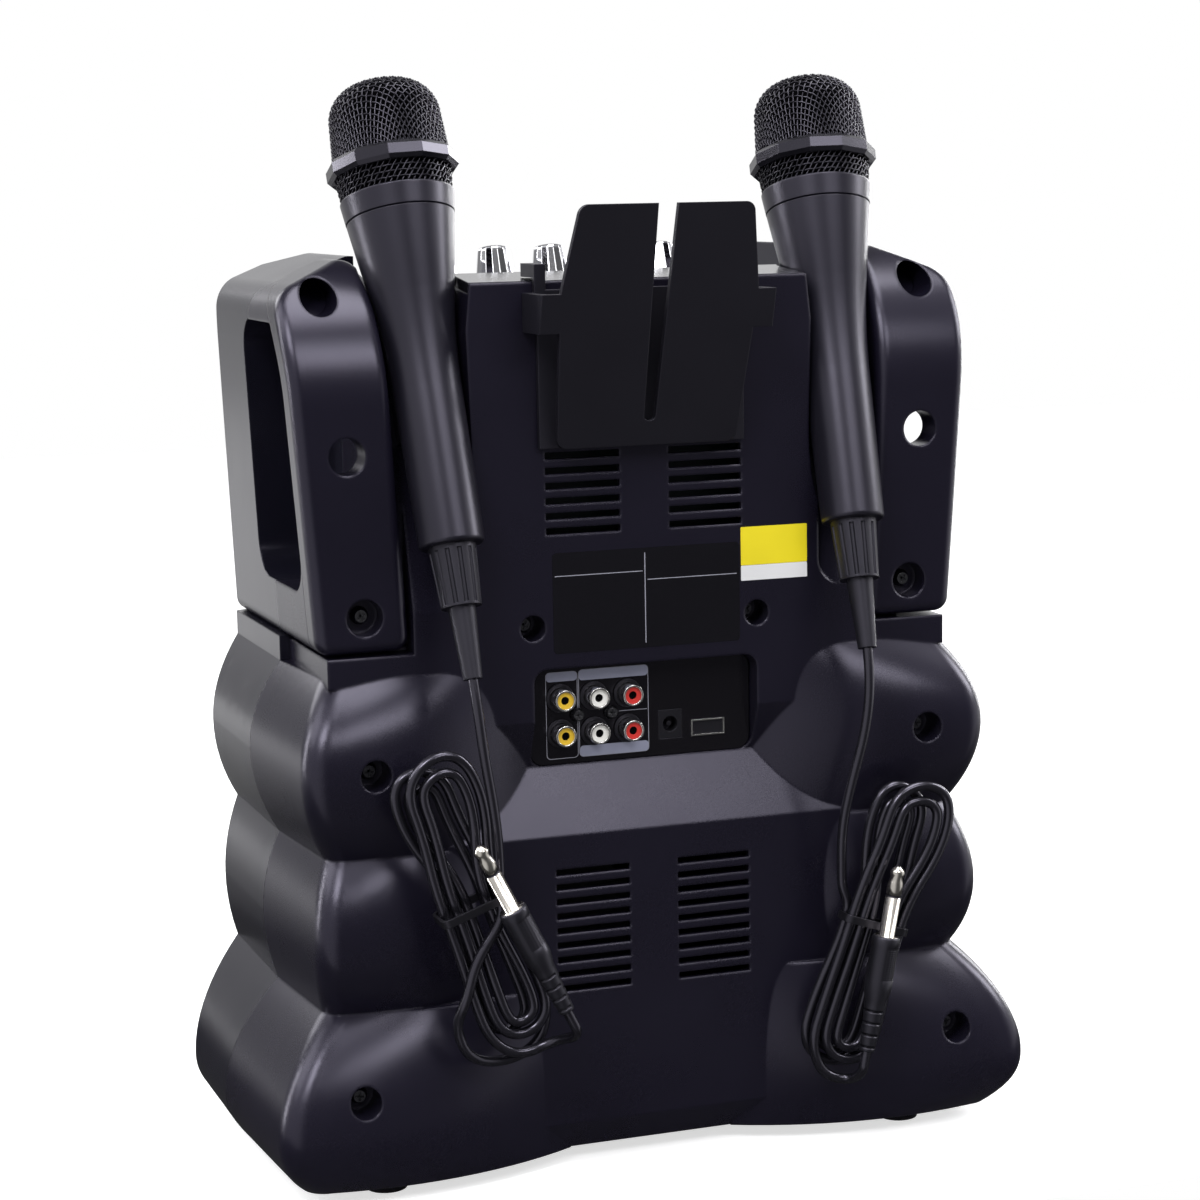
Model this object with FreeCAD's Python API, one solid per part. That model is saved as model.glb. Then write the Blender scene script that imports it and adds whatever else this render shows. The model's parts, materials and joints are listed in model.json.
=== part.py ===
import FreeCAD, Part
import math
import os
from FreeCAD import Vector

# A karaoke machine, in millimetres. +Z is up from the floor, the back faces -Y and +X is to the right
# as seen from behind. Depths below are counted from the plane of the upper back panel, and the last
# step moves everything so that the origin lies on the floor under the middle of the object.

# Shared clearances
RUNNING_GAP = 0.3
SHAFT_GAP = 0.05
OVERRUN = 12.0

# Cabinet
FOOT_HEIGHT = 6.0
FOOT_R = 8.0
FOOT_X = 108.5
FOOT_REAR_Y = 5.0
FOOT_FRONT_IN = 67.0
SHOULDER_Z = 198.4
EAR_FOOT_Z = 208.0
EAR_FOOT_GAP = 1.2
PANEL_TOP_Z = 344.0
DECK_Z = 346.8
SEAM_Y = 58.0
FRONT_REACH = 165.0
FRONT_CURVE_R = 277.0
FRONT_SKIN = 19.0
WALL = 3.0
SIDE_WALL = 4.5

# Back panel, from the top down: flat, sloped into the jack recess, out again over a ledge, flat
RECESS_DEPTH = 8.0
KINK_Z = 177.0
LEDGE_FOOT_Z = 158.0
LEDGE_EDGE_Z = 132.7
LOWER_PANEL_OUT = 4.0
TUCK_IN = 4.0
TUCK_RISE = 12.0
UPPER_HALF = 93.0
INNER_HALF = 112.0

# Three lobes down each side: half widths, and how far the rear corner stands out
BOTTOM_HALF = 143.0
BOTTOM_OUT = 11.0
LOBE3_Z = 27.0
LOBE3_HALF = 154.4
LOBE3_OUT = 22.0
LOBE3_TIP = 34.0
VALLEY_LOW_Z = 72.0
VALLEY_LOW_HALF = 131.8
VALLEY_LOW_OUT = 2.5
LOBE2_Z = 100.0
LOBE2_HALF = 136.7
LOBE2_OUT = 14.5
LOBE2_TIP = 60.0
VALLEY_HIGH_Z = 131.0
VALLEY_HIGH_HALF = 129.5
VALLEY_HIGH_OUT = 3.0
LOBE1_Z = 165.0
LOBE1_HALF = 139.8
LOBE1_OUT = 14.5
LOBE1_TIP = 44.0
SHOULDER_HALF = 126.6
SHOULDER_IN = 2.6
LOBE_CORNER_R = 9.0
LOBE_LOW_SINK = 3.0
LOBE_HIGH_SINK = 10.0
SIDE_DRAFT = 4.0
LOBE_STEP_SHARES = (0.0, 0.12, 0.3, 0.6, 1.0)
PLAN_RISE_SHARE = 0.085

# Carrying handles beside the microphone channels
EAR_INNER_LOW = 94.0
EAR_INNER_TOP = 102.0
EAR_OUTER_LOW = 130.0
EAR_OUTER_TOP = 138.5
EAR_OUTER_Z = 326.0
EAR_TOP_INNER_Z = 357.0
EAR_TOP_OUTER_Z = 341.5
EAR_LOW_R = 6.0
EAR_SIDE_R = 150.0
EAR_INNER_R = 8.0
EAR_TOP_R = 13.0
EAR_ROLL_Z = 300.0
EAR_ROLL_R = 60.0
COVER_DEPTH = 12.0
COVER_EDGE_R = 4.5
FRONT_EAR_HALF = 135.0
FRONT_EAR_TOP_Y = 104.0
SLOT_INNER_X = 103.0
SLOT_LOW_Z = 230.0
SLOT_TOP_Z = 331.0
SLOT_FRONT_Y = 84.0
SLOT_CORNER_R = 14.0

# Screw wells: place across, height, radius
EAR_WELL_R = 7.0
EAR_TOP_WELL = (121.7, 340.0)
EAR_MID_WELL = (116.6, 281.9)
EAR_LOW_WELL = (111.7, 221.7)
PANEL_WELL = (46.0, 213.2)
PANEL_WELL_R = 5.0
LOBE1_WELL = (112.9, 164.6)
LOBE3_WELL = (122.3, 42.5)
LOBE_WELL_R = 6.0
WELL_DEPTH = 14.0
COVER_WELL_DEPTH = 9.0
SCREW_HEAD_R = 3.4
SCREW_HEAD_HEIGHT = 2.4
SCREW_SHANK_R = 1.5
SCREW_SHANK = 9.0

# Ventilation slots
VENT_INNER = 10.0
VENT_OUTER = 40.0
VENT_SLOT = 2.6
VENT_PITCH = 5.75
UPPER_VENT_Z = 248.5
UPPER_VENT_COUNT = 7
LOWER_VENT_Z = 71.0
LOWER_VENT_COUNT = 9

# Jack recess and what is in it
RECESS_HALF = 46.0
RECESS_TOP_Z = 197.0
RECESS_R = 5.5
PLATE_THICK = 2.0
PLATE_REST = 3.0
RCA_X = -33.3
RCA_PITCH_X = 13.83
RCA_TOP_Z = 184.15
RCA_LOW_Z = 170.3
RCA_R = 4.15
RCA_BORE_R = 3.3
RCA_PROUD = 7.7
RCA_FLANGE_R = 5.6
RCA_FLANGE = 1.2
RCA_TAIL = 6.0
RCA_PIN_R = 1.6
RCA_INSERT_SET = 1.0
JACK_SCREW_X = -26.4
JACK_SCREW_Z = 177.2
JACK_SCREW_R = 3.0
JACK_SCREW_HEIGHT = 1.6
DC_X = 12.2
DC_Z = 170.4
DC_WIDTH = 9.7
DC_HEIGHT = 11.4
DC_DEPTH = 9.0
DC_BORE_R = 3.0
DC_PIN_R = 1.0
USB_X = 27.9
USB_Z = 168.0
USB_WIDTH = 14.0
USB_HEIGHT = 6.5
USB_DEPTH = 12.0
USB_SKIN = 0.6
USB_TONGUE = 1.6

# Top deck, rising a little to a crest and sloping down to the front
DECK_THICK = 4.0
DECK_HALF = 96.5
DECK_REAR_Y = 2.0
DECK_CREST_Y = 30.0
DECK_REAR_DROP = 2.5
DECK_SLOPE_DEG = 12.0

# Knobs and their potentiometers
KNOB_COUNT = 6
KNOB_PITCH = 23.4
KNOB_Y = 70.0
KNOB_BASE_R = 8.4
KNOB_TOP_R = 6.0
KNOB_HEIGHT = 17.5
KNOB_EDGE = 1.4
KNOB_SIDES = 16
KNOB_BORE = 12.0
SHAFT_R = 3.0
POT_SIZE = 12.0
POT_HEIGHT = 7.0
BUSH_R = 3.5

# Push buttons
BUTTON_COUNT = 4
BUTTON_PITCH = 30.0
BUTTON_ROW = 33.0
BUTTON_LENGTH = 20.0
BUTTON_WIDTH = 9.0
BUTTON_PROUD = 2.5
BUTTON_R = 2.0

# Phone holder
HOLDER_X = -1.35
HOLDER_REACH = 33.5
HOLDER_FOOT_OUT = 7.2
HOLDER_WALL = 2.6
HOLDER_LOW_Z = 281.5
HOLDER_TOP_Z = 372.5
HOLDER_BACK_TOP_Z = 341.0
HOLDER_HALF = 36.0
HOLDER_WAIST_HALF = 39.4
HOLDER_TOP_HALF = 34.1
HOLDER_WAIST_Z = 339.0
HOLDER_BACK_HALF = 41.5
HOLDER_CORNER_R = 4.0
HOLDER_SLOT_TOP = 8.0
HOLDER_SLOT_LOW = 4.6
HOLDER_SLOT_Z = 291.0
ARM_HALF = 46.5
ARM_LOW_Z = 325.3
ARM_HIGH_Z = 340.0
HOOK_X = 38.0
HOOK_WIDTH = 4.4
HOOK_OVER = 13.0
HOOK_THICK = 5.0

# Microphones: the axis runs from the tail of the handle to the ring round the head
MIC_TAIL = (81.3, -13.2, 248.3)
MIC_RING = (86.8, 37.0, 394.0)
MIC_TAIL_R = 12.3
MIC_MID_R = 13.2
MIC_MID = 78.0
MIC_COLLAR = 126.0
MIC_COLLAR_R = 20.5
MIC_SEAT = 135.0
MIC_SEAT_R = 21.8
MIC_GROOVE = 0.7
MIC_FLARE_R = 260.0
MIC_EDGE_R = 1.5
GRILLE_LOW_R = 21.4
GRILLE_R = 23.9
GRILLE_TOP = 181.0
GRILLE_WALL = 1.5
RING_LOW = 149.5
RING_HIGH = 158.5
RING_R = 26.0
RING_SIDES = 12
BOOT_LENGTH = 23.0
BOOT_TOP_R = 9.0
BOOT_END_R = 7.6
BOOT_FLUTES = 12
FLUTE_R = 0.9
RELIEF_LENGTH = 27.0
RELIEF_TOP_R = 5.2
RELIEF_END_R = 3.6
CHANNEL_INNER = 72.5
CHANNEL_OUTER = 98.5
CHANNEL_LOW_Z = 222.0
CHANNEL_R = 11.0
CHANNEL_TURN_SHARE = 0.45
CHANNEL_WALL = 5.5
CHANNEL_TOP_Y = 36.5
CHANNEL_ROOM = 1.2
PULL_ROOM = 90.0
CRADLE_LOW = 44.0
CRADLE_LENGTH = 18.0
CRADLE_HALF = 10.0
CRADLE_SET = 3.7

# Microphone cords
CORD_R = 2.0
HANK_TILT_DEG = 19.0
HANK_LEFT = (-80.0, -22.0, 115.5)
HANK_RIGHT = (85.0, -22.0, 90.0)
HANK_CENTRE = 44.0
HANK_LOOP = 4.6
HANK_WAIST = 2.5
HANK_STEP = 4.8
HANK_LAYER = 4.7
HANK_TURNS = 2
HANK_TOP_LAYERS = {-1: 2, 1: 1}
HANK_END_SHARE = 0.6
HANK_WIDE_SHARES = (1.35, 0.6)
LEAD_RIGHT = ((-19.0, 14.0, 0.0, 0.4, -0.917),)
LEAD_LEFT = (
    (9.0, 0.0, 2.0, -0.25, -0.97),
    (-13.0, -26.0, 2.0, -0.55, -0.835),
    (-23.2, -46.0, 1.0, 0.0, -1.0),
)
FIRST_RUN = 12.0
ROUTE_LEFT = ((-77.4, -34.6, 172.0), (-74.6, -34.2, 156.0), (-72.2, -32.6, 140.0))
ROUTE_RIGHT = ((77.6, -32.2, 170.0), (73.6, -28.2, 150.0), (70.8, -24.0, 130.0))
TIE_THICK = 1.2
TIE_WIDTH = 3.0
PLUG_FEET = {-1: (15.7, -48.0), 1: (6.5, -47.5)}
PLUG_TIPS = {-1: (5.9, 25.0), 1: (-4.0, 26.0)}
PLUG_LENGTH = 74.0
PLUG_RELIEF = 20.0
PLUG_RELIEF_R = 2.9
PLUG_NECK_R = 4.2
PLUG_BODY = 26.0
PLUG_BODY_R = 5.5
PLUG_PIN_R = 3.175
PLUG_GROOVE_R = 2.5
PLUG_TIP_LENGTH = 5.0

# Screen
SCREEN_Z = 252.0
SCREEN_WIDTH = 154.0
SCREEN_HEIGHT = 87.0
PANEL_BORDER = 5.0
PANEL_DEPTH = 6.0
BEZEL_BORDER = 14.0
BEZEL_R = 8.0

# Speaker
SPEAKER_Z = 66.0
GRILLE_DISC_R = 54.0
GRILLE_SKIRT = 3.0
GRILLE_SEAT = 6.0
GRILLE_SLOT = 3.0
GRILLE_PITCH = 7.5
GRILLE_SLOT_COUNT = 13
MOUTH_R = 46.0
FLANGE_R = 51.5
FLANGE_THICK = 3.0
BASKET_R = 45.0
BASKET_DEPTH = 30.0
BASKET_NECK_R = 20.0
BASKET_WALL = 1.6
CONE_R = 41.0
CONE_NECK_R = 13.0
CONE_DEPTH = 20.0
CONE_THICK = 1.4
CONE_TRAVEL = 2.0
MAGNET_R = 33.0
MAGNET_THICK = 16.0

# Disc tray and its loader
SHELF_Z = 124.0
SHELF_HALF = 76.0
SHELF_REAR_Y = 26.0
TRAY_HALF = 64.0
TRAY_Z = 142.0
TRAY_THICK = 8.0
TRAY_REAR_Y = 24.0
DISC_R = 60.5
DISC_WELL = 3.0
DISC_SLOT_HALF = 20.0
DOOR_HALF = 68.0
DOOR_LOW_Z = 134.0
DOOR_TOP_Z = 155.0
DOOR_SEAT = 4.0
CHASSIS_BASE = 2.5
CHASSIS_RIM = 4.0
LEDGE_WIDTH = 6.0
BRIDGE_WIDTH = 20.0
BRIDGE_THICK = 2.0
HUB_R = 14.0
HUB_LOW_Z = 139.0
HUB_TOP_Z = 148.5
SPINDLE_R = 1.5
SPINDLE_BOSS_R = 9.0
ROD_R = 1.5
ROD_X = 12.0
ROD_Z = 132.5
ROD_REAR_Y = 28.0
ROD_FRONT_Y = 76.0
ROD_POST = 3.0
SLED_HALF = 17.0
SLED_DEPTH = 14.0
SLED_Y = 45.0
SLED_HEIGHT = 8.0
LENS_R = 3.5
LENS_HEIGHT = 2.0
PINION_TEETH = 12
GEAR_MODULE = 1.0
PINION_SET = 12.8
RACK_X = -40.0
RACK_HEIGHT = 4.0
RACK_BACK = 4.0
RACK_ROOT_SHARE = 0.2
RACK_TIP_SHARE = 0.075
PINION_ROOT_SHARE = 0.195
PINION_TIP_SHARE = 0.09
TOOTH_ADDENDUM_SHARE = 0.8
MOTOR_R = 5.5
MOTOR_HEIGHT = 8.0

# Front microphone jacks
FRONT_JACK_X = 30.0
FRONT_JACK_Z = 180.0
FRONT_JACK_R = 3.25
FRONT_NUT_R = 7.5
FRONT_NUT = 3.0
FRONT_NUT_IN = 8.0
FRONT_JACK_BODY_R = 6.0
FRONT_JACK_BODY = 26.0

# Main board
BOARD_WIDTH = 104.0
BOARD_LOW_Z = 226.0
BOARD_TOP_Z = 318.0
BOARD_THICK = 1.6
BOARD_Y = 22.0
POST_R = 3.5
POST_INSET = 8.0

# Worked out from the sizes above
PANEL_Y = (HOLDER_REACH - FRONT_REACH) / 2
FRONT_INNER_Y = FRONT_REACH - FRONT_SKIN
FOOT_FRONT_Y = FRONT_REACH - FOOT_FRONT_IN
DECK_UNDER_Z = DECK_Z - DECK_THICK
DECK_FALL_SHARE = math.tan(math.radians(DECK_SLOPE_DEG))
DECK_RISE_SHARE = DECK_REAR_DROP / (DECK_CREST_Y - DECK_REAR_Y)
KNOB_FIRST_X = -KNOB_PITCH * (KNOB_COUNT - 1) / 2
BUTTON_Y = KNOB_Y + BUTTON_ROW
GRILLE_SEAT_Y = FRONT_INNER_Y + GRILLE_SEAT
FRONT_NUT_Y = FRONT_REACH - FRONT_NUT_IN
DOOR_BACK_Y = FRONT_INNER_Y + DOOR_SEAT + RUNNING_GAP
DISC_Y = TRAY_REAR_Y + TRAY_HALF
PINION_Y = DOOR_BACK_Y - PINION_SET
PITCH_R = GEAR_MODULE * PINION_TEETH / 2
PINION_X = RACK_X - PITCH_R
CORD_TURN_SHARE = 0.45
SIDES = (-1, 1)
UP = Vector(0, 0, 1)
BACK = Vector(0, -1, 0)


# Plain building blocks

def box(x0, x1, y0, y1, z0, z1):
    return Part.makeBox(x1 - x0, y1 - y0, z1 - z0, Vector(x0, y0, z0))


def mirrored(shape):
    return shape.mirror(Vector(0, 0, 0), Vector(1, 0, 0))


def on_side(shape, side):
    return shape if side > 0 else mirrored(shape)


def both_sides(shape):
    return [shape, mirrored(shape)]


def rounded_wire(points, radii):
    """A closed wire through the points, with an arc of the given radius at each corner."""
    arrive, mids, leave = [], [], []
    for index, here in enumerate(points):
        into = (points[index - 1] - here).normalize()
        out = (points[(index + 1) % len(points)] - here).normalize()
        radius = radii[index]
        half = into.getAngle(out) / 2
        reach = radius / math.tan(half)
        arrive.append(here + into * reach)
        leave.append(here + out * reach)
        middle = (into + out).normalize() if radius else into
        mids.append(here + middle * (radius / math.sin(half) - radius))
    edges = []
    for index in range(len(points)):
        if (arrive[index] - leave[index - 1]).Length > RUNNING_GAP / 100:
            edges.append(Part.LineSegment(leave[index - 1], arrive[index]).toShape())
        if radii[index]:
            edges.append(Part.Arc(arrive[index], mids[index], leave[index]).toShape())
    return Part.Wire(edges)


def plate_x(points, x0, x1, radii=None):
    """An outline of (y, z) points pushed along X."""
    corners = [Vector(x0, y, z) for y, z in points]
    wire = rounded_wire(corners, radii or [0] * len(corners))
    return Part.Face(wire).extrude(Vector(x1 - x0, 0, 0))


def plate_y(points, y0, y1, radii=None):
    """An outline of (x, z) points pushed along Y."""
    corners = [Vector(x, y0, z) for x, z in points]
    wire = rounded_wire(corners, radii or [0] * len(corners))
    return Part.Face(wire).extrude(Vector(0, y1 - y0, 0))


def rectangle(half, low, high):
    return [(-half, low), (half, low), (half, high), (-half, high)]


def rod_y(x, z, radius, y0, y1):
    return Part.makeCylinder(radius, y1 - y0, Vector(x, y0, z), Vector(0, 1, 0))


def rod_z(x, y, radius, z0, z1):
    return Part.makeCylinder(radius, z1 - z0, Vector(x, y, z0), UP)


def turned(profile, base, direction, radii=None):
    """A closed outline of (radius, height) points turned about an axis."""
    points = [Vector(radius, 0, height) for radius, height in profile]
    face = Part.Face(rounded_wire(points, radii or [0] * len(points)))
    solid = face.revolve(Vector(0, 0, 0), UP, 360)
    solid.Placement = FreeCAD.Placement(base, FreeCAD.Rotation(UP, direction))
    return solid


def fused(shapes):
    return shapes[0].multiFuse(shapes[1:]).removeSplitter()


def group(shapes):
    return Part.makeCompound(shapes)


# Cabinet outlines

HALF_LOBES = (
    (FOOT_HEIGHT, LOBE3_Z, BOTTOM_HALF, LOBE3_HALF, BOTTOM_OUT, LOBE3_OUT),
    (VALLEY_LOW_Z, LOBE3_Z, VALLEY_LOW_HALF, LOBE3_HALF, VALLEY_LOW_OUT, LOBE3_OUT),
    (VALLEY_LOW_Z, LOBE2_Z, VALLEY_LOW_HALF, LOBE2_HALF, VALLEY_LOW_OUT, LOBE2_OUT),
    (VALLEY_HIGH_Z, LOBE2_Z, VALLEY_HIGH_HALF, LOBE2_HALF, VALLEY_HIGH_OUT, LOBE2_OUT),
    (VALLEY_HIGH_Z, LOBE1_Z, VALLEY_HIGH_HALF, LOBE1_HALF, VALLEY_HIGH_OUT, LOBE1_OUT),
    (SHOULDER_Z, LOBE1_Z, SHOULDER_HALF, LOBE1_HALF, -SHOULDER_IN, LOBE1_OUT),
)


def swell(share, low, high):
    """A round swell from low to high, level at the crest."""
    return high - (high - low) * (1 - share) ** 2


def lobe_section(half_lobe, share, tip, sink):
    """The plan outline of a lobe at a share of the way from its valley to its crest."""
    valley_z, crest_z, half_low, half_high, out_low, out_high = half_lobe
    z = valley_z + (crest_z - valley_z) * share
    side = swell(share, half_low, half_high)
    rear = -swell(share, out_low, out_high)
    start = Vector(tip, sink, z)
    turn = Vector(side - LOBE_CORNER_R, rear, z)
    flank = Vector(side, rear + LOBE_CORNER_R, z)
    seam = Vector(side + SIDE_DRAFT, SEAM_Y, z)
    inner = Vector(tip, SEAM_Y, z)
    chord = turn - start
    crown = start + chord * 0.5 + chord.cross(UP).normalize() * (chord.Length * PLAN_RISE_SHARE)
    corner = Vector(flank.x, turn.y, z)
    bend = corner + (turn + flank - corner * 2) * (1 - math.sqrt(0.5))
    edges = [
        Part.Arc(start, crown, turn).toShape(),
        Part.Arc(turn, bend, flank).toShape(),
        Part.LineSegment(flank, seam).toShape(),
        Part.LineSegment(seam, inner).toShape(),
        Part.LineSegment(inner, start).toShape(),
    ]
    return Part.Wire(edges)


def lobe(lower, upper, tip, sink):
    sections = [lobe_section(lower, share, tip, sink) for share in LOBE_STEP_SHARES]
    sections += [lobe_section(upper, share, tip, sink) for share in reversed(LOBE_STEP_SHARES[:-1])]
    return Part.makeLoft(sections, True, False)


def lobes():
    low, mid, high = HALF_LOBES[0:2], HALF_LOBES[2:4], HALF_LOBES[4:6]
    return [
        lobe(low[0], low[1], LOBE3_TIP, LOBE_LOW_SINK),
        lobe(mid[0], mid[1], LOBE2_TIP, LOBE_LOW_SINK),
        lobe(high[0], high[1], LOBE1_TIP, LOBE_HIGH_SINK),
    ]


def side_curve(half_lobe, y, rising, inset):
    """One half lobe of the side outline at the seam: the curve that the swell follows."""
    valley_z, crest_z, half_low, half_high = half_lobe[:4]
    valley = Vector(half_low + SIDE_DRAFT - inset, y, valley_z)
    crest = Vector(half_high + SIDE_DRAFT - inset, y, crest_z)
    poles = [valley, Vector(crest.x, y, (valley_z + crest_z) / 2), crest]
    curve = Part.BezierCurve()
    curve.setPoles(poles if rising else poles[::-1])
    return curve.toShape()


def side_body(y0, y1, inset=0):
    """The lobed outline below the handles, or set in all round, pushed along Y, right half."""
    curves = [side_curve(half, y0, half[1] > half[0], inset) for half in HALF_LOBES]
    shoulder = SHOULDER_HALF + SIDE_DRAFT - inset
    corners = [
        Vector(shoulder, y0, SHOULDER_Z),
        Vector(shoulder, y0, EAR_FOOT_Z),
        Vector(0, y0, EAR_FOOT_Z),
        Vector(0, y0, FOOT_HEIGHT),
        Vector(BOTTOM_HALF + SIDE_DRAFT - inset, y0, FOOT_HEIGHT),
    ]
    lines = [Part.LineSegment(a, b).toShape() for a, b in zip(corners, corners[1:])]
    return Part.Face(Part.Wire(curves + lines)).extrude(Vector(0, y1 - y0, 0))


def side_rooms(y0, y1, inset, top):
    """The hollow inside the lobes, on both sides."""
    room = side_body(y0, y1, inset).common(box(0, LOBE3_HALF, y0, y1, FOOT_HEIGHT + WALL, top))
    return both_sides(room)


def ear_outline(outer_low, outer_top, inner_low, inner_top):
    points = [
        (inner_low, EAR_FOOT_Z),
        (outer_low, EAR_FOOT_Z),
        (outer_top, EAR_OUTER_Z),
        (outer_top, EAR_TOP_OUTER_Z),
        (inner_top, EAR_TOP_INNER_Z),
    ]
    return points, [EAR_LOW_R, EAR_LOW_R, EAR_SIDE_R, EAR_TOP_R, EAR_INNER_R]


def rolled_prism(depth):
    """Everything in front of the handle's rear face, set in by a depth: flat, then rolling forward."""
    radius = EAR_ROLL_R - depth
    centre = Vector(EAR_INNER_LOW - OVERRUN, EAR_ROLL_R, EAR_ROLL_Z)
    low = Vector(centre.x, depth, EAR_FOOT_Z - OVERRUN)
    start = centre - Vector(0, radius, 0)
    middle = centre + Vector(0, -radius, radius) * math.sqrt(0.5)
    top = centre + Vector(0, 0, radius)
    far_top = Vector(centre.x, FRONT_REACH, top.z)
    far_low = Vector(centre.x, FRONT_REACH, low.z)
    edges = [
        Part.LineSegment(low, start).toShape(),
        Part.Arc(start, middle, top).toShape(),
        Part.LineSegment(top, far_top).toShape(),
        Part.LineSegment(far_top, far_low).toShape(),
        Part.LineSegment(far_low, low).toShape(),
    ]
    length = EAR_OUTER_TOP - EAR_INNER_LOW + 2 * OVERRUN
    return Part.Face(Part.Wire(edges)).extrude(Vector(length, 0, 0))


def hand_slot():
    points = [
        (COVER_DEPTH, SLOT_LOW_Z),
        (SLOT_FRONT_Y, SLOT_LOW_Z),
        (SLOT_FRONT_Y, SLOT_TOP_Z),
        (COVER_DEPTH, SLOT_TOP_Z),
    ]
    radii = [SLOT_CORNER_R] * len(points)
    return plate_x(points, SLOT_INNER_X, EAR_OUTER_TOP + OVERRUN, radii)


def front_dome(inset=0):
    """The bowed front: everything behind one large upright cylinder, or behind it set in."""
    centre_y = FRONT_REACH - FRONT_CURVE_R
    height = EAR_TOP_INNER_Z + 2 * OVERRUN
    return rod_z(0, centre_y, FRONT_CURVE_R - inset, -OVERRUN, height - OVERRUN)


def above_deck(lift):
    """The room over the deck's surface, raised by a lift."""
    low = DECK_Z + lift
    far = FRONT_REACH + OVERRUN
    fall = (far - DECK_CREST_Y) * DECK_FALL_SHARE
    high = EAR_TOP_INNER_Z + 2 * OVERRUN
    rear = low - DECK_REAR_DROP
    return [(DECK_REAR_Y, rear), (DECK_CREST_Y, low), (far, low - fall), (far, high), (DECK_REAR_Y, high)]


# Microphone places

def mic_frame(side):
    tail = Vector(side * MIC_TAIL[0], MIC_TAIL[1], MIC_TAIL[2])
    ring = Vector(side * MIC_RING[0], MIC_RING[1], MIC_RING[2])
    return tail, (ring - tail).normalize()


def mic_room(side, room):
    """The handle's own shape with room round it, open to the back so that it can be pulled out."""
    tail, axis = mic_frame(side)
    profile = [
        (0, -RELIEF_LENGTH),
        (MIC_TAIL_R + room, -RELIEF_LENGTH),
        (MIC_MID_R + room, MIC_MID),
        (MIC_COLLAR_R + room, MIC_COLLAR),
        (0, MIC_COLLAR),
    ]
    core = turned(profile, tail, axis)
    out = (BACK - axis * BACK.dot(axis)).normalize()
    across = axis.cross(out)
    right = [tail + across * radius + axis * height for radius, height in profile[1:-1]]
    left = [tail - across * radius + axis * height for radius, height in reversed(profile[1:-1])]
    outline = Part.makePolygon(right + left + right[:1])
    return core.fuse(Part.Face(outline).extrude(out * PULL_ROOM))


def channel_prism():
    """The way in from behind for one microphone, sloping forward, with a rounded foot."""
    top = EAR_TOP_INNER_Z + OVERRUN
    slope = CHANNEL_TOP_Y / (DECK_Z - CHANNEL_LOW_Z)
    far = (top - CHANNEL_LOW_Z) * slope
    points = [(-OVERRUN, CHANNEL_LOW_Z), (0, CHANNEL_LOW_Z), (far, top), (-OVERRUN, top)]
    mouth = [
        (CHANNEL_INNER, CHANNEL_LOW_Z),
        (CHANNEL_OUTER, CHANNEL_LOW_Z),
        (CHANNEL_OUTER, top),
        (CHANNEL_INNER, top),
    ]
    prism = plate_x(points, CHANNEL_INNER, CHANNEL_OUTER)
    corner = min(CHANNEL_R, (CHANNEL_OUTER - CHANNEL_INNER) * CHANNEL_TURN_SHARE)
    return prism.common(plate_y(mouth, -OVERRUN, far, [corner, corner, 0, 0]))


# Cabinet pieces

def screw_well(place, radius, mouth_y, depth):
    return rod_y(place[0], place[1], radius, mouth_y - LOBE3_OUT - OVERRUN, mouth_y + depth)


def lobe_wells():
    return [
        (PANEL_WELL, PANEL_WELL_R, 0),
        (LOBE1_WELL, LOBE_WELL_R, -LOBE1_OUT),
        (LOBE3_WELL, LOBE_WELL_R, -LOBE3_OUT),
    ]


def vents():
    slots = []
    blocks = ((UPPER_VENT_Z, UPPER_VENT_COUNT), (LOWER_VENT_Z, LOWER_VENT_COUNT))
    for low, count in blocks:
        for index in range(count):
            z = low + index * VENT_PITCH
            slots.append(box(VENT_INNER, VENT_OUTER, -OVERRUN, RECESS_DEPTH, z, z + VENT_SLOT))
    return slots


def back_block():
    points = [
        (SEAM_Y, FOOT_HEIGHT),
        (TUCK_IN, FOOT_HEIGHT),
        (-LOWER_PANEL_OUT, FOOT_HEIGHT + TUCK_RISE),
        (-LOWER_PANEL_OUT, LEDGE_EDGE_Z),
        (RECESS_DEPTH, LEDGE_FOOT_Z),
        (0, KINK_Z),
        (0, PANEL_TOP_Z),
        (SEAM_Y, PANEL_TOP_Z),
    ]
    whole = plate_x(points, -INNER_HALF, INNER_HALF)
    strip_top = EAR_FOOT_Z - EAR_FOOT_GAP
    strip = box(-SHOULDER_HALF, SHOULDER_HALF, 0, SEAM_Y, SHOULDER_Z - WALL, strip_top)
    beside = box(UPPER_HALF, INNER_HALF, -OVERRUN, SEAM_Y, EAR_FOOT_Z, PANEL_TOP_Z)
    groove = box(UPPER_HALF, INNER_HALF, -OVERRUN, COVER_DEPTH, strip_top, EAR_FOOT_Z)
    return [whole.cut(group(both_sides(beside) + both_sides(groove))), strip]


def ear_solid(inner_low, inner_top):
    points, radii = ear_outline(EAR_OUTER_LOW, EAR_OUTER_TOP, inner_low, inner_top)
    return plate_y(points, 0, SEAM_Y, radii).common(rolled_prism(0))


def cover_blank():
    return ear_solid(EAR_INNER_LOW, EAR_INNER_TOP).cut(rolled_prism(COVER_DEPTH))


def rear_rim(solid):
    """The edges round a handle's rear skin, both the flat and the rolled part of it."""
    seen = {}
    for face in solid.Faces:
        rolled = isinstance(face.Surface, Part.Cylinder) and face.Surface.Radius > EAR_ROLL_R - SHAFT_GAP
        if rolled or face.BoundBox.YMax < SHAFT_GAP:
            for edge in face.Edges:
                seen.setdefault(edge.hashCode(), []).append(edge)
    return [edges[0] for edges in seen.values() if len(edges) == 1]


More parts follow.
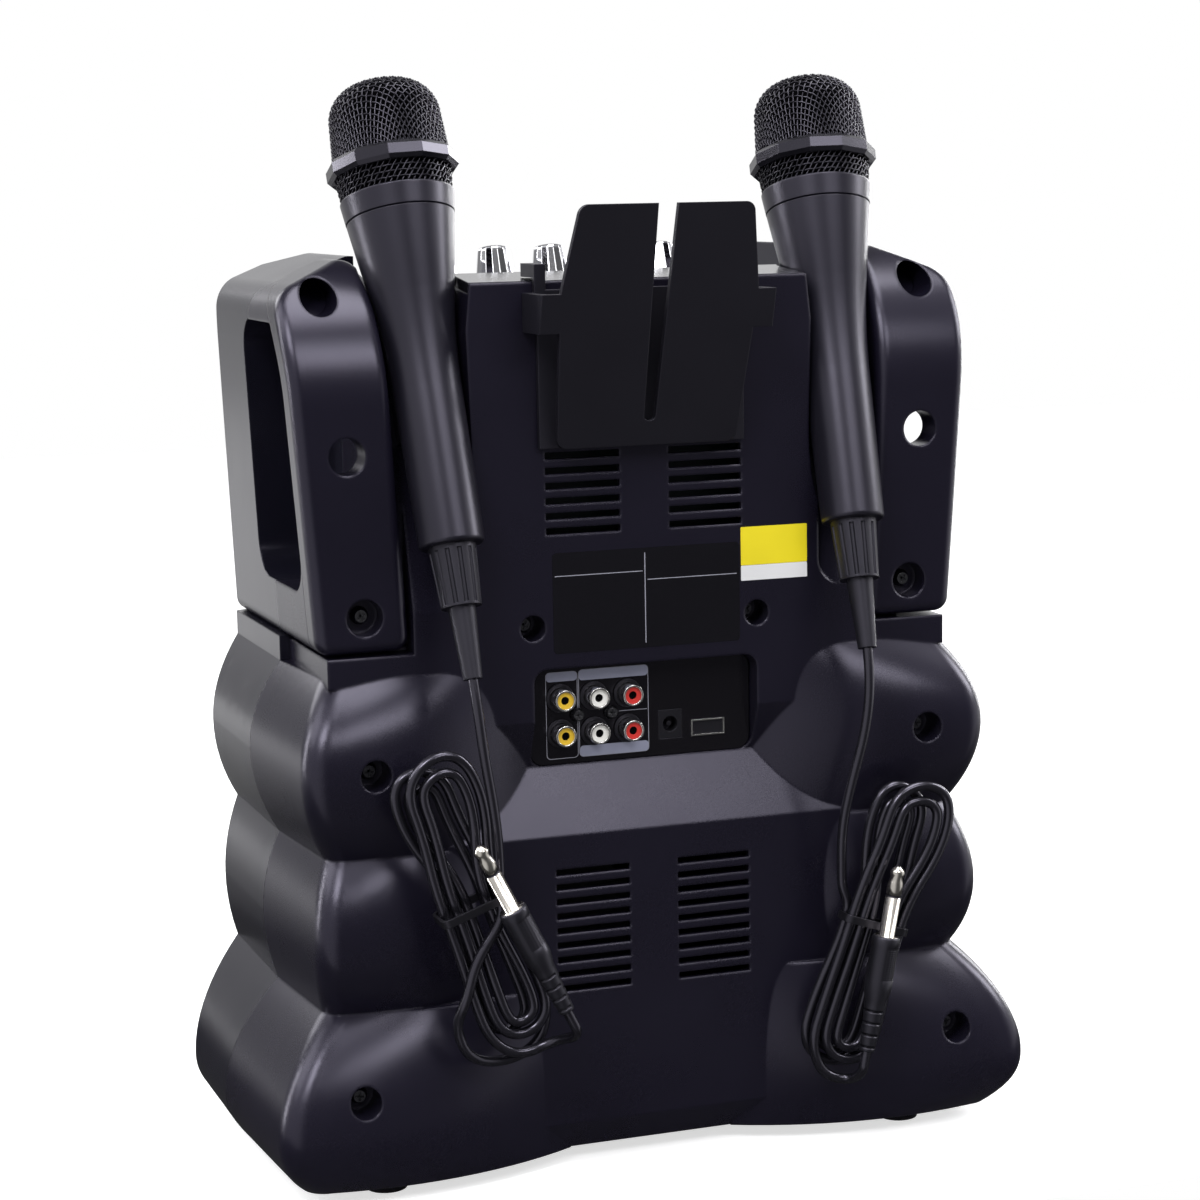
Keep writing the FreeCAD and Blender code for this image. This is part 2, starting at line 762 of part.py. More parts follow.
def handle_cover(side):
    blank = ear_solid(EAR_INNER_LOW, EAR_INNER_TOP)
    cover = blank.makeFillet(COVER_EDGE_R, rear_rim(blank)).cut(rolled_prism(COVER_DEPTH))
    low = screw_well(EAR_LOW_WELL, EAR_WELL_R, 0, COVER_WELL_DEPTH)
    low_shank = screw_well(EAR_LOW_WELL, SCREW_SHANK_R, 0, COVER_DEPTH)
    mid = screw_well(EAR_MID_WELL, EAR_WELL_R, 0, COVER_DEPTH)
    top = screw_well(EAR_TOP_WELL, EAR_WELL_R, 0, EAR_ROLL_R - COVER_DEPTH)
    return on_side(cover.cut(group([low, low_shank, mid, top])), side).cut(mic_room(side, CHANNEL_ROOM))


def cavities():
    lower_top = LEDGE_EDGE_Z - WALL
    middle_y = RECESS_DEPTH + PLATE_THICK + PLATE_REST
    half = INNER_HALF
    upper = CHANNEL_INNER - CHANNEL_WALL
    floor = FOOT_HEIGHT + WALL
    ceiling = DECK_UNDER_Z - DECK_REAR_DROP - WALL
    vent_half = VENT_OUTER + WALL
    vent_y = WALL - LOWER_PANEL_OUT
    rooms = [
        box(-half, half, TUCK_IN + WALL, SEAM_Y, floor, lower_top),
        box(-vent_half, vent_half, vent_y, SEAM_Y, LOWER_VENT_Z - WALL, lower_top),
        box(-half, half, middle_y, SEAM_Y, lower_top, SHOULDER_Z),
        box(-upper, upper, WALL, SEAM_Y, SHOULDER_Z, ceiling),
        box(WALL - UPPER_HALF, UPPER_HALF - WALL, SEAM_Y - POT_SIZE, SEAM_Y, SHOULDER_Z, DECK_Z),
    ]
    lobe_y = TUCK_IN + 3 * WALL
    return rooms + side_rooms(lobe_y, SEAM_Y, SIDE_WALL + SIDE_DRAFT, SHOULDER_Z - WALL)


def board_posts():
    half = BOARD_WIDTH / 2 - POST_INSET
    low, high = BOARD_LOW_Z + POST_INSET, BOARD_TOP_Z - POST_INSET
    return [rod_y(x, z, POST_R, 0, BOARD_Y) for x in (-half, half) for z in (low, high)]


def panel_bosses():
    """Tubes behind the thin panel that carry its two screws."""
    x, z = PANEL_WELL
    tube = rod_y(x, z, PANEL_WELL_R + WALL, 0, WELL_DEPTH + SCREW_SHANK)
    tube = tube.cut(screw_well(PANEL_WELL, PANEL_WELL_R, 0, WELL_DEPTH))
    return both_sides(tube.cut(rod_y(x, z, SCREW_SHANK_R, 0, WELL_DEPTH + SCREW_SHANK)))


def rear_shell():
    inner = UPPER_HALF - WALL
    ears = ear_solid(inner, inner).common(rolled_prism(COVER_DEPTH)).cut(hand_slot())
    solids = back_block() + both_sides(ears)
    for piece in lobes():
        solids += both_sides(piece)
    shell = solids[0].multiFuse(solids[1:])
    recess = rectangle(RECESS_HALF, LEDGE_FOOT_Z, RECESS_TOP_Z)
    recess_radii = [RECESS_R] * len(recess)
    window_half = RECESS_HALF - PLATE_REST
    window = rectangle(window_half, LEDGE_FOOT_Z + PLATE_REST, RECESS_TOP_Z - PLATE_REST)
    cuts = cavities()
    cuts.append(plate_y(recess, -OVERRUN, RECESS_DEPTH + PLATE_THICK, recess_radii))
    cuts.append(plate_y(window, 0, SEAM_Y))
    deck_room = above_deck(-DECK_THICK)
    cuts.append(plate_x(deck_room, -DECK_HALF, DECK_HALF))
    for slot in vents():
        cuts += both_sides(slot)
    for place, radius, mouth in lobe_wells():
        cuts += both_sides(screw_well(place, radius, mouth, WELL_DEPTH))
        cuts += both_sides(screw_well(place, SCREW_SHANK_R, mouth, WELL_DEPTH + SCREW_SHANK))
    shank = rod_y(EAR_LOW_WELL[0], EAR_LOW_WELL[1], SCREW_SHANK_R, 0, COVER_DEPTH + SCREW_SHANK)
    cuts += both_sides(shank)
    cuts += both_sides(channel_prism())
    cuts += [mic_room(side, CHANNEL_ROOM) for side in SIDES]
    shell = shell.cut(group(cuts))
    shell = shell.cut(group(both_sides(cover_blank())))
    return fused([shell] + board_posts() + panel_bosses())


def front_shell():
    lower = side_body(SEAM_Y, FRONT_REACH)
    block = box(0, EAR_INNER_LOW + WALL, SEAM_Y, FRONT_REACH, EAR_FOOT_Z - WALL, DECK_Z)
    inner = UPPER_HALF - WALL
    points, radii = ear_outline(EAR_OUTER_LOW, FRONT_EAR_HALF, inner, inner)
    ear = plate_y(points, SEAM_Y, FRONT_REACH, radii)
    ear_lift = EAR_TOP_INNER_Z - DECK_Z + (FRONT_EAR_TOP_Y - DECK_CREST_Y) * DECK_FALL_SHARE
    ear = ear.cut(plate_x(above_deck(ear_lift), 0, LOBE3_HALF)).cut(hand_slot())
    body = fused([lower, block, ear])
    body = fused(both_sides(body)).common(front_dome())
    near, far = SEAM_Y - OVERRUN, FRONT_REACH + OVERRUN
    lower_room = box(-INNER_HALF, INNER_HALF, near, FRONT_INNER_Y, FOOT_HEIGHT + WALL, EAR_FOOT_Z - WALL)
    upper_room = box(-UPPER_HALF, UPPER_HALF, near, FRONT_INNER_Y, EAR_FOOT_Z - OVERRUN, DECK_UNDER_Z)
    ear_room = box(inner, EAR_OUTER_LOW - 2 * WALL, SLOT_FRONT_Y + WALL, FRONT_INNER_Y,
                   EAR_FOOT_Z - 2 * WALL, EAR_TOP_OUTER_Z - 4 * WALL)
    deck_seat = plate_x(above_deck(-DECK_THICK), -DECK_HALF, DECK_HALF)
    cuts = [
        lower_room.common(front_dome(2 * WALL)),
        upper_room,
        deck_seat.common(box(-DECK_HALF, DECK_HALF, near, FRONT_INNER_Y, 0, DECK_Z)),
        plate_x(above_deck(0), -DECK_HALF, DECK_HALF),
    ]
    rooms = side_rooms(near, FRONT_INNER_Y, SIDE_WALL, EAR_FOOT_Z - WALL) + both_sides(ear_room)
    cuts += [room.common(front_dome(2 * WALL)) for room in rooms]
    cuts.append(plate_y(bezel_outline(0), FRONT_INNER_Y - OVERRUN, far, [BEZEL_R] * 4))
    cuts.append(rod_y(0, SPEAKER_Z, MOUTH_R, FRONT_INNER_Y - OVERRUN, far))
    cuts.append(rod_y(0, SPEAKER_Z, GRILLE_DISC_R, GRILLE_SEAT_Y, far))
    tray_half = TRAY_HALF + 2 * RUNNING_GAP
    slot_low = TRAY_Z - RACK_HEIGHT - RUNNING_GAP
    slot_high = TRAY_Z + TRAY_THICK + 2 * RUNNING_GAP
    cuts.append(box(-tray_half, tray_half, FRONT_INNER_Y - OVERRUN, far, slot_low, slot_high))
    door_half = DOOR_HALF + RUNNING_GAP
    low, high = DOOR_LOW_Z - RUNNING_GAP, DOOR_TOP_Z + RUNNING_GAP
    cuts.append(box(-door_half, door_half, FRONT_INNER_Y + DOOR_SEAT, far, low, high))
    for side in SIDES:
        x = side * FRONT_JACK_X
        cuts.append(rod_y(x, FRONT_JACK_Z, FRONT_JACK_BODY_R, FRONT_INNER_Y - OVERRUN, far))
        cuts.append(rod_y(x, FRONT_JACK_Z, FRONT_NUT_R, FRONT_NUT_Y, far))
    body = body.cut(group(cuts))
    shelf = box(-SHELF_HALF, SHELF_HALF, SHELF_REAR_Y, FRONT_INNER_Y, SHELF_Z - WALL, SHELF_Z)
    gusset = box(SHELF_HALF - WALL, INNER_HALF, SEAM_Y, FRONT_INNER_Y, SHELF_Z - WALL, SHELF_Z)
    return fused([body, shelf] + both_sides(gusset.common(front_dome(WALL))))


def top_deck():
    plate = plate_x(above_deck(-DECK_THICK), -DECK_HALF, DECK_HALF)
    plate = plate.cut(plate_x(above_deck(0), -DECK_HALF - OVERRUN, DECK_HALF + OVERRUN))
    plate = plate.cut(box(-DECK_HALF, DECK_HALF, FRONT_INNER_Y, FRONT_REACH + 2 * OVERRUN, 0, DECK_Z))
    cuts = both_sides(channel_prism()) + [mic_room(side, CHANNEL_ROOM) for side in SIDES]
    for index in range(KNOB_COUNT):
        base, axis = knob_place(index)
        cuts.append(Part.makeCylinder(BUSH_R, 2 * OVERRUN, base - axis * OVERRUN, axis))
    for index in range(BUTTON_COUNT):
        cuts.append(button_solid(index, RUNNING_GAP, OVERRUN, OVERRUN))
    return plate.cut(group(cuts))


def feet():
    places = [(side * FOOT_X, y) for side in SIDES for y in (FOOT_REAR_Y, FOOT_FRONT_Y)]
    return group([rod_z(x, y, FOOT_R, 0, FOOT_HEIGHT) for x, y in places])


def screw(x, z, seat_y):
    head = rod_y(x, z, SCREW_HEAD_R, seat_y - SCREW_HEAD_HEIGHT, seat_y)
    return head.fuse(rod_y(x, z, SCREW_SHANK_R - SHAFT_GAP, seat_y - SHAFT_GAP, seat_y + SCREW_SHANK - WALL))


def case_screws():
    seats = [(place, mouth + WELL_DEPTH) for place, radius, mouth in lobe_wells()]
    seats.append((EAR_LOW_WELL, COVER_WELL_DEPTH))
    screws = [screw(side * place[0], place[1], seat) for side in SIDES for place, seat in seats]
    for x in (JACK_SCREW_X, JACK_SCREW_X + RCA_PITCH_X):
        screws.append(rod_y(x, JACK_SCREW_Z, JACK_SCREW_R, RECESS_DEPTH - JACK_SCREW_HEIGHT, RECESS_DEPTH))
    return group(screws)


# Jack panel

def rca_columns():
    return [RCA_X + column * RCA_PITCH_X for column in range(3)]


def dc_outline(grow):
    half, tall = DC_WIDTH / 2 + grow, DC_HEIGHT / 2 + grow
    corners = ((-half, -tall), (half, -tall), (half, tall), (-half, tall))
    return [(DC_X + x, DC_Z + z) for x, z in corners]


def usb_box(shrink, y0, y1):
    half, tall = USB_WIDTH / 2 - shrink, USB_HEIGHT / 2 - shrink
    return box(USB_X - half, USB_X + half, y0, y1, USB_Z - tall, USB_Z + tall)


def jack_plate():
    inset = RUNNING_GAP
    outline = rectangle(RECESS_HALF - inset, LEDGE_FOOT_Z + inset, RECESS_TOP_Z - inset)
    back = RECESS_DEPTH + PLATE_THICK
    plate = plate_y(outline, RECESS_DEPTH, back, [RECESS_R] * len(outline))
    cuts = []
    for x in rca_columns():
        for z in (RCA_TOP_Z, RCA_LOW_Z):
            cuts.append(rod_y(x, z, RCA_R, 0, SEAM_Y))
    cuts.append(plate_y(dc_outline(0), 0, SEAM_Y))
    cuts.append(usb_box(0, 0, SEAM_Y))
    return plate.cut(group(cuts))


def rca_shells():
    shells = []
    for x in rca_columns():
        for z in (RCA_TOP_Z, RCA_LOW_Z):
            front = RECESS_DEPTH - RCA_PROUD
            barrel = rod_y(x, z, RCA_R, front, RECESS_DEPTH + PLATE_THICK + RCA_TAIL)
            flange = rod_y(x, z, RCA_FLANGE_R, RECESS_DEPTH - RCA_FLANGE, RECESS_DEPTH)
            bore = rod_y(x, z, RCA_BORE_R, front - OVERRUN, RECESS_DEPTH + PLATE_THICK)
            shells.append(barrel.fuse(flange).cut(bore))
    return group(shells)


def rca_inserts(x):
    inserts = []
    for z in (RCA_TOP_Z, RCA_LOW_Z):
        front = RECESS_DEPTH - RCA_PROUD + RCA_INSERT_SET
        sleeve = rod_y(x, z, RCA_BORE_R, front, RECESS_DEPTH + PLATE_THICK)
        inserts.append(sleeve.cut(rod_y(x, z, RCA_PIN_R, front - OVERRUN, RECESS_DEPTH)))
    return group(inserts)


def dc_socket():
    back = RECESS_DEPTH + DC_DEPTH
    body = plate_y(dc_outline(0), RECESS_DEPTH, back)
    bore = rod_y(DC_X, DC_Z, DC_BORE_R, 0, back - WALL)
    pin = rod_y(DC_X, DC_Z, DC_PIN_R, RECESS_DEPTH + RCA_FLANGE, back - WALL)
    return body.cut(bore).fuse(pin)


def usb_socket():
    back = RECESS_DEPTH + USB_DEPTH
    front = RECESS_DEPTH - USB_SKIN
    shell = usb_box(0, front, back).cut(usb_box(USB_SKIN, front - OVERRUN, back - USB_SKIN))
    half = USB_WIDTH / 2 - 2 * USB_TONGUE
    tongue = box(USB_X - half, USB_X + half, RECESS_DEPTH + USB_SKIN, back, USB_Z, USB_Z + USB_TONGUE)
    return shell.fuse(tongue)


# Controls on the deck

def deck_point(x, y, lift):
    fall = (y - DECK_CREST_Y) * DECK_FALL_SHARE
    return Vector(x, y, DECK_Z - fall) + deck_normal() * lift


def deck_normal():
    slope = math.radians(DECK_SLOPE_DEG)
    return Vector(0, math.sin(slope), math.cos(slope))


def knob_place(index):
    return deck_point(KNOB_FIRST_X + index * KNOB_PITCH, KNOB_Y, 0), deck_normal()


def ring_of_points(radius, height, sides):
    turn = 2 * math.pi / sides
    return [Vector(radius * math.cos(k * turn), radius * math.sin(k * turn), height) for k in range(sides)]


def faceted(levels, sides):
    """A turned form with flat facets, from (radius, height) levels."""
    wires = []
    for radius, height in levels:
        points = ring_of_points(radius, height, sides)
        wires.append(Part.makePolygon(points + points[:1]))
    return Part.makeLoft(wires, True, True)


def knob(index):
    base, axis = knob_place(index)
    levels = [
        (KNOB_BASE_R, RUNNING_GAP),
        (KNOB_TOP_R, KNOB_HEIGHT - KNOB_EDGE),
        (KNOB_TOP_R - KNOB_EDGE / 3, KNOB_HEIGHT - KNOB_EDGE / 3),
        (KNOB_TOP_R - KNOB_EDGE, KNOB_HEIGHT),
    ]
    solid = faceted(levels, KNOB_SIDES)
    solid = solid.cut(rod_z(0, 0, SHAFT_R + SHAFT_GAP, 0, KNOB_BORE))
    solid.Placement = FreeCAD.Placement(base, FreeCAD.Rotation(UP, axis))
    return solid


def potentiometers():
    bodies = []
    for index in range(KNOB_COUNT):
        base, axis = knob_place(index)
        half = POT_SIZE / 2
        body = box(-half, half, -half, half, -DECK_THICK - POT_HEIGHT, -DECK_THICK)
        bush = rod_z(0, 0, BUSH_R - SHAFT_GAP, -DECK_THICK, 0)
        shaft = rod_z(0, 0, SHAFT_R, -SHAFT_GAP, KNOB_BORE - RUNNING_GAP)
        pot = fused([body, bush, shaft])
        pot.Placement = FreeCAD.Placement(base, FreeCAD.Rotation(UP, axis))
        bodies.append(pot)
    return group(bodies)


def button_solid(index, grow, above, below):
    half, wide = BUTTON_LENGTH / 2 + grow, BUTTON_WIDTH / 2 + grow
    places = ((-half, -wide), (half, -wide), (half, wide), (-half, wide))
    corners = [Vector(x, y, -below) for x, y in places]
    face = Part.Face(rounded_wire(corners, [BUTTON_R + grow] * len(corners)))
    solid = face.extrude(Vector(0, 0, above + below))
    x = (index - (BUTTON_COUNT - 1) / 2) * BUTTON_PITCH
    solid.Placement = FreeCAD.Placement(deck_point(x, BUTTON_Y, 0), FreeCAD.Rotation(UP, deck_normal()))
    return solid


def button(index):
    return button_solid(index, 0, BUTTON_PROUD, DECK_THICK)


# Phone holder

def holder_sheet():
    """The leaning front plate with the slot down its middle."""
    lean = [
        (-HOLDER_FOOT_OUT, HOLDER_LOW_Z),
        (-HOLDER_REACH, HOLDER_TOP_Z),
        (-HOLDER_REACH + HOLDER_WALL, HOLDER_TOP_Z),
        (-HOLDER_FOOT_OUT + HOLDER_WALL, HOLDER_LOW_Z),
    ]
    outline = [
        (-HOLDER_HALF, HOLDER_LOW_Z),
        (HOLDER_HALF, HOLDER_LOW_Z),
        (HOLDER_WAIST_HALF, HOLDER_WAIST_Z),
        (HOLDER_TOP_HALF, HOLDER_TOP_Z),
        (-HOLDER_TOP_HALF, HOLDER_TOP_Z),
        (-HOLDER_WAIST_HALF, HOLDER_WAIST_Z),
    ]
    radii = [HOLDER_CORNER_R, HOLDER_CORNER_R, 0, HOLDER_CORNER_R, HOLDER_CORNER_R, 0]
    sheet = plate_x(lean, -HOLDER_WAIST_HALF, HOLDER_WAIST_HALF)
    sheet = sheet.common(plate_y(outline, -HOLDER_REACH - OVERRUN, 0, radii))
    low, high = HOLDER_SLOT_LOW / 2, HOLDER_SLOT_TOP / 2
    over = HOLDER_TOP_Z + OVERRUN
    slot = [
        (-low, HOLDER_SLOT_Z),
        (low, HOLDER_SLOT_Z),
        (high, HOLDER_TOP_Z),
        (high, over),
        (-high, over),
        (-high, HOLDER_TOP_Z),
    ]
    foot_r = HOLDER_SLOT_LOW * CORD_TURN_SHARE
    return sheet.cut(plate_y(slot, -HOLDER_REACH - OVERRUN, 0, [foot_r, foot_r, 0, 0, 0, 0]))


def phone_holder():
    gap = RUNNING_GAP
    front, rear = -gap, -gap - HOLDER_WALL
    sheet = holder_sheet()
    back = box(-HOLDER_BACK_HALF, HOLDER_BACK_HALF, rear, front, HOLDER_LOW_Z, HOLDER_BACK_TOP_Z)
    half = HOLDER_HALF - HOLDER_CORNER_R
    foot, low = HOLDER_WALL / 2 - HOLDER_FOOT_OUT, HOLDER_LOW_Z
    shelf = box(-half, half, foot, front, low, low + HOLDER_WALL)
    lean_share = (HOLDER_REACH - HOLDER_FOOT_OUT) / (HOLDER_TOP_Z - HOLDER_LOW_Z)
    arm_low = -HOLDER_FOOT_OUT - (ARM_LOW_Z - HOLDER_LOW_Z) * lean_share
    arm_high = -HOLDER_FOOT_OUT - (ARM_HIGH_Z - HOLDER_LOW_Z) * lean_share
    arm = [(front, ARM_LOW_Z), (front, ARM_HIGH_Z), (arm_high, ARM_HIGH_Z), (arm_low, ARM_LOW_Z)]
    strap = [
        (arm_low, ARM_LOW_Z),
        (arm_high, ARM_HIGH_Z),
        (arm_high + HOLDER_WALL, ARM_HIGH_Z),
        (arm_low + HOLDER_WALL, ARM_LOW_Z),
    ]
    seat = DECK_Z - (DECK_CREST_Y - HOOK_OVER) * DECK_RISE_SHARE + gap
    inner, outer = HOOK_X, HOOK_X + HOOK_WIDTH
    right = [
        plate_x(arm, ARM_HALF - HOLDER_WALL, ARM_HALF),
        plate_x(strap, HOLDER_TOP_HALF, ARM_HALF),
        box(HOLDER_BACK_HALF - HOLDER_WALL, ARM_HALF, rear, front, ARM_LOW_Z, ARM_HIGH_Z),
        box(inner, outer, rear, front, ARM_LOW_Z, seat + HOOK_THICK),
        box(inner, outer, rear, HOOK_OVER, seat, seat + HOOK_THICK),
    ]
    pieces = [sheet, back, shelf]
    for piece in right:
        pieces += both_sides(piece)
    holder = fused(pieces)
    holder.translate(Vector(HOLDER_X, 0, 0))
    return holder


# Microphones

def mic_handle(side):
    tail, axis = mic_frame(side)
    profile = [
        (0, 0),
        (MIC_TAIL_R, 0),
        (MIC_MID_R, MIC_MID),
        (MIC_COLLAR_R, MIC_COLLAR),
        (MIC_COLLAR_R - MIC_GROOVE, MIC_COLLAR + MIC_GROOVE / 2),
        (MIC_COLLAR_R + MIC_GROOVE / 4, MIC_COLLAR + MIC_GROOVE),
        (MIC_SEAT_R, MIC_SEAT),
        (0, MIC_SEAT),
    ]
    radii = [0, MIC_EDGE_R, MIC_FLARE_R, 0, 0, 0, MIC_GROOVE, 0]
    return turned(profile, tail, axis, radii)


def mic_grille(side):
    tail, axis = mic_frame(side)
    dome = (GRILLE_TOP - RING_HIGH) * (1 - SHAFT_GAP / GRILLE_WALL)
    skin = GRILLE_WALL
    profile = [
        (GRILLE_LOW_R - skin, MIC_SEAT),
        (GRILLE_LOW_R, MIC_SEAT),
        (GRILLE_R, RING_LOW),
        (GRILLE_R, GRILLE_TOP),
        (0, GRILLE_TOP),
        (0, GRILLE_TOP - skin),
        (GRILLE_R - skin, GRILLE_TOP - skin),
        (GRILLE_R - skin, RING_LOW),
    ]
    return turned(profile, tail, axis, [0, 0, 0, dome, 0, 0, dome - skin, 0])


def mic_ring(side):
    tail, axis = mic_frame(side)
    edge = (RING_HIGH - RING_LOW) / 4
    levels = [
        (RING_R - edge, RING_LOW),
        (RING_R, RING_LOW + edge),
        (RING_R, RING_HIGH - edge),
        (RING_R - edge, RING_HIGH),
    ]
    ring = faceted(levels, RING_SIDES)
    ring = ring.cut(rod_z(0, 0, GRILLE_R + SHAFT_GAP, 0, GRILLE_TOP))
    ring.Placement = FreeCAD.Placement(tail, FreeCAD.Rotation(UP, axis))
    return ring


def mic_boot(side):
    tail, axis = mic_frame(side)
    end = BOOT_LENGTH + RELIEF_LENGTH
    profile = [
        (0, 0),
        (BOOT_TOP_R, 0),
        (BOOT_END_R, -BOOT_LENGTH),
        (RELIEF_TOP_R, -BOOT_LENGTH),
        (RELIEF_END_R, -end),
        (0, -end),
    ]
    boot = turned(profile, Vector(0, 0, 0), UP)
    flutes = []
    for place in ring_of_points(BOOT_TOP_R, 0, BOOT_FLUTES):
        foot = Vector(place.x, place.y, 0) * (BOOT_END_R / BOOT_TOP_R) - UP * (BOOT_LENGTH - FLUTE_R)
        rib = place - UP * (2 * FLUTE_R) - foot
        flutes.append(Part.makeCylinder(FLUTE_R, rib.Length, foot, rib))
    boot = boot.cut(group(flutes))
    boot.Placement = FreeCAD.Placement(tail, FreeCAD.Rotation(UP, axis))
    return boot


def mic_cradles():
    pieces = []
    for side in SIDES:
        tail, axis = mic_frame(side)
        out = (BACK - axis * BACK.dot(axis)).normalize()
        across = axis.cross(out)
        start = tail + axis * CRADLE_LOW - out * CRADLE_SET
        deep = MIC_MID_R + CHANNEL_TOP_Y
        corners = [start - across * CRADLE_HALF, start + across * CRADLE_HALF]
        corners += [start + across * CRADLE_HALF - out * deep, start - across * CRADLE_HALF - out * deep]
        block = Part.Face(Part.makePolygon(corners + corners[:1])).extrude(axis * CRADLE_LENGTH)
        block = block.common(on_side(channel_prism(), side))
        pieces.append(block.cut(mic_room(side, RUNNING_GAP)))
    return group(pieces)


# Cords

def hank_frame(side):
    centre = Vector(*(HANK_LEFT if side < 0 else HANK_RIGHT))
    tilt = math.radians(HANK_TILT_DEG) * side
    along = Vector(math.sin(tilt), 0, math.cos(tilt))
    across = Vector(math.cos(tilt), 0, -math.sin(tilt))
    return centre, across, along


def hank_point(side, u, v, layer):
    centre, across, along = hank_frame(side)
    return centre + across * u + along * v + BACK * (layer * HANK_LAYER)


def hank_heading(side, u, v):
    centre, across, along = hank_frame(side)
    return (across * u + along * v).normalize()


def hank_lead(side):
    """How the cord comes into the hank: the left one crosses over the waist first."""
    nodes = []
    for u, v, layer, du, dv in (LEAD_LEFT if side < 0 else LEAD_RIGHT):
        nodes.append((hank_point(side, u, v, layer), hank_heading(side, du, dv)))
    return nodes


def hank_node(side, eighth, inward, layer):
    """One of the eight places round a turn: waist, shoulder and end, drawn in at the waist."""
    waist = HANK_WAIST + HANK_STEP * inward
    loop = HANK_LOOP + HANK_STEP * inward
    end = HANK_CENTRE + loop
    u, v, du, dv = (
        (-waist, 0, 0, -1),
        (-loop, -HANK_CENTRE, 0, -1),
        (0, -end, 1, 0),
        (loop, -HANK_CENTRE, 0, 1),
        (waist, 0, 0, 1),
        (loop, HANK_CENTRE, 0, 1),
        (0, end, -1, 0),
        (-loop, HANK_CENTRE, 0, -1),
    )[eighth % 8]
    return hank_point(side, u, v, layer), hank_heading(side, du, dv)


def hank_nodes(side):
    """Places and headings down the hank: it spirals in, climbs a layer along the waist, spirals out."""
    nodes = hank_lead(side)
    middle = 8 * HANK_TURNS
    last = 2 * middle + 2
    first = 0 if side > 0 else 2
    for eighth in range(first, last + 1):
        inward = abs(eighth - middle) / 8
        if side < 0 and eighth < first + len(HANK_WIDE_SHARES):
            inward += HANK_WIDE_SHARES[eighth - first]
        if eighth == last:
            inward += HANK_END_SHARE
        layer = min(max(eighth - middle + 1, 0), 2) / 2
        nodes.append(hank_node(side, eighth, inward, layer))
    foot, heading = plug_frame(side)
    nodes.append((foot - heading * (2 * CORD_R), heading))
    return nodes


def plug_frame(side):
    """The plug lies over the tie, on top of the hank."""
    over = CORD_R + SHAFT_GAP + TIE_THICK + RUNNING_GAP + PLUG_BODY_R
    lift = HANK_TOP_LAYERS[side] + over / HANK_LAYER
    foot = hank_point(side, *PLUG_FEET[side], lift)
    tip = hank_point(side, *PLUG_TIPS[side], lift)
    return foot, (tip - foot).normalize()


def arc_from(start, heading, end):
    """The arc, or line, that leaves start along heading and reaches end."""
    chord = end - start
    aside = chord - heading * chord.dot(heading)
    if aside.Length < chord.Length / 10000:
        return Part.LineSegment(start, end)
    aside.normalize()
    radius = chord.dot(chord) / (2 * chord.dot(aside))
    half_turn = heading.getAngle(chord)
    middle = start + aside * (radius * (1 - math.cos(half_turn))) + heading * (radius * math.sin(half_turn))
    return Part.Arc(start, middle, end)


def biarc(start, heading, end, far_heading):
    chord = end - start
    both = heading + far_heading
    bend = 1 - heading.dot(far_heading)
    along = chord.dot(both)
    if bend < 0.000001:
        reach = chord.dot(chord) / (2 * along)
    else:
        reach = (-along + math.sqrt(along * along + 2 * bend * chord.dot(chord))) / (2 * bend)
    first = start + heading * reach
    last = end - far_heading * reach
    joint = (first + last) * 0.5
    return [arc_from(start, heading, joint), arc_from(joint, (last - first).normalize(), end)]


def hank_curves(side):
    nodes = hank_nodes(side)
    curves = []
    for (start, heading), (end, far_heading) in zip(nodes, nodes[1:]):
        curves += biarc(start, heading, end, far_heading)
    foot, heading = plug_frame(side)
    curves.append(Part.LineSegment(nodes[-1][0], foot))
    return curves


def swept(curves, radius):
    path = Part.Wire([curve.toShape() for curve in curves])
    start = curves[0].value(curves[0].FirstParameter)
    heading = curves[0].tangent(curves[0].FirstParameter)[0]
    ring = Part.Wire(Part.makeCircle(radius, start, heading))
    return path.makePipeShell([ring], True, False)


def least_gap(curves, step):
    """The least clear gap between parts of one tube that are not neighbours along it."""
    points, lengths, done = [], [], 0
    for curve in curves:
        edge = curve.toShape()
        count = max(2, int(edge.Length / step))
        for index, point in enumerate(edge.discretize(count)[:-1]):
            points.append(point)
            lengths.append(done + edge.Length * index / (count - 1))
        done += edge.Length
    least, place = done, None
    for index, point in enumerate(points):
        for other in range(index + 1, len(points)):
            if lengths[other] - lengths[index] > 8 * CORD_R:
                gap = (points[other] - point).Length - 2 * CORD_R
                if gap < least:
                    least, place = gap, (lengths[index], lengths[other])
    return least, place, done


def mic_hank(side):
    return swept(hank_curves(side), CORD_R)


def cord_route(side):
    """The free stretch, from the strain relief down to the hank, chosen by hand."""
    tail, axis = mic_frame(side)
    start = tail - axis * (BOOT_LENGTH + RELIEF_LENGTH)
    end, heading = hank_nodes(side)[0]
    middle = [Vector(*point) for point in (ROUTE_LEFT if side < 0 else ROUTE_RIGHT)]
    return [start, start - axis * FIRST_RUN] + middle + [end]


def route_curves(points):
    """Straight runs joined by arcs as large as the two runs allow."""
    curves, radii = [], []
    here = points[0]
    for before, corner, after in zip(points, points[1:], points[2:]):
        into, out = before - corner, after - corner
        shorter = min(into.Length, out.Length)
        reach = CORD_TURN_SHARE * shorter
        into.normalize()
        out.normalize()
        half = into.getAngle(out) / 2
        radius = reach * math.tan(half)
        radii.append(radius)
        middle = corner + (into + out).normalize() * (radius / math.sin(half) - radius)
        curves.append(Part.LineSegment(here, corner + into * reach))
        curves.append(Part.Arc(corner + into * reach, middle, corner + out * reach))
        here = corner + out * reach
    curves.append(Part.LineSegment(here, points[-1]))
    return curves, radii


def mic_cord(side):
    curves, radii = route_curves(cord_route(side))
    return swept(curves, CORD_R)


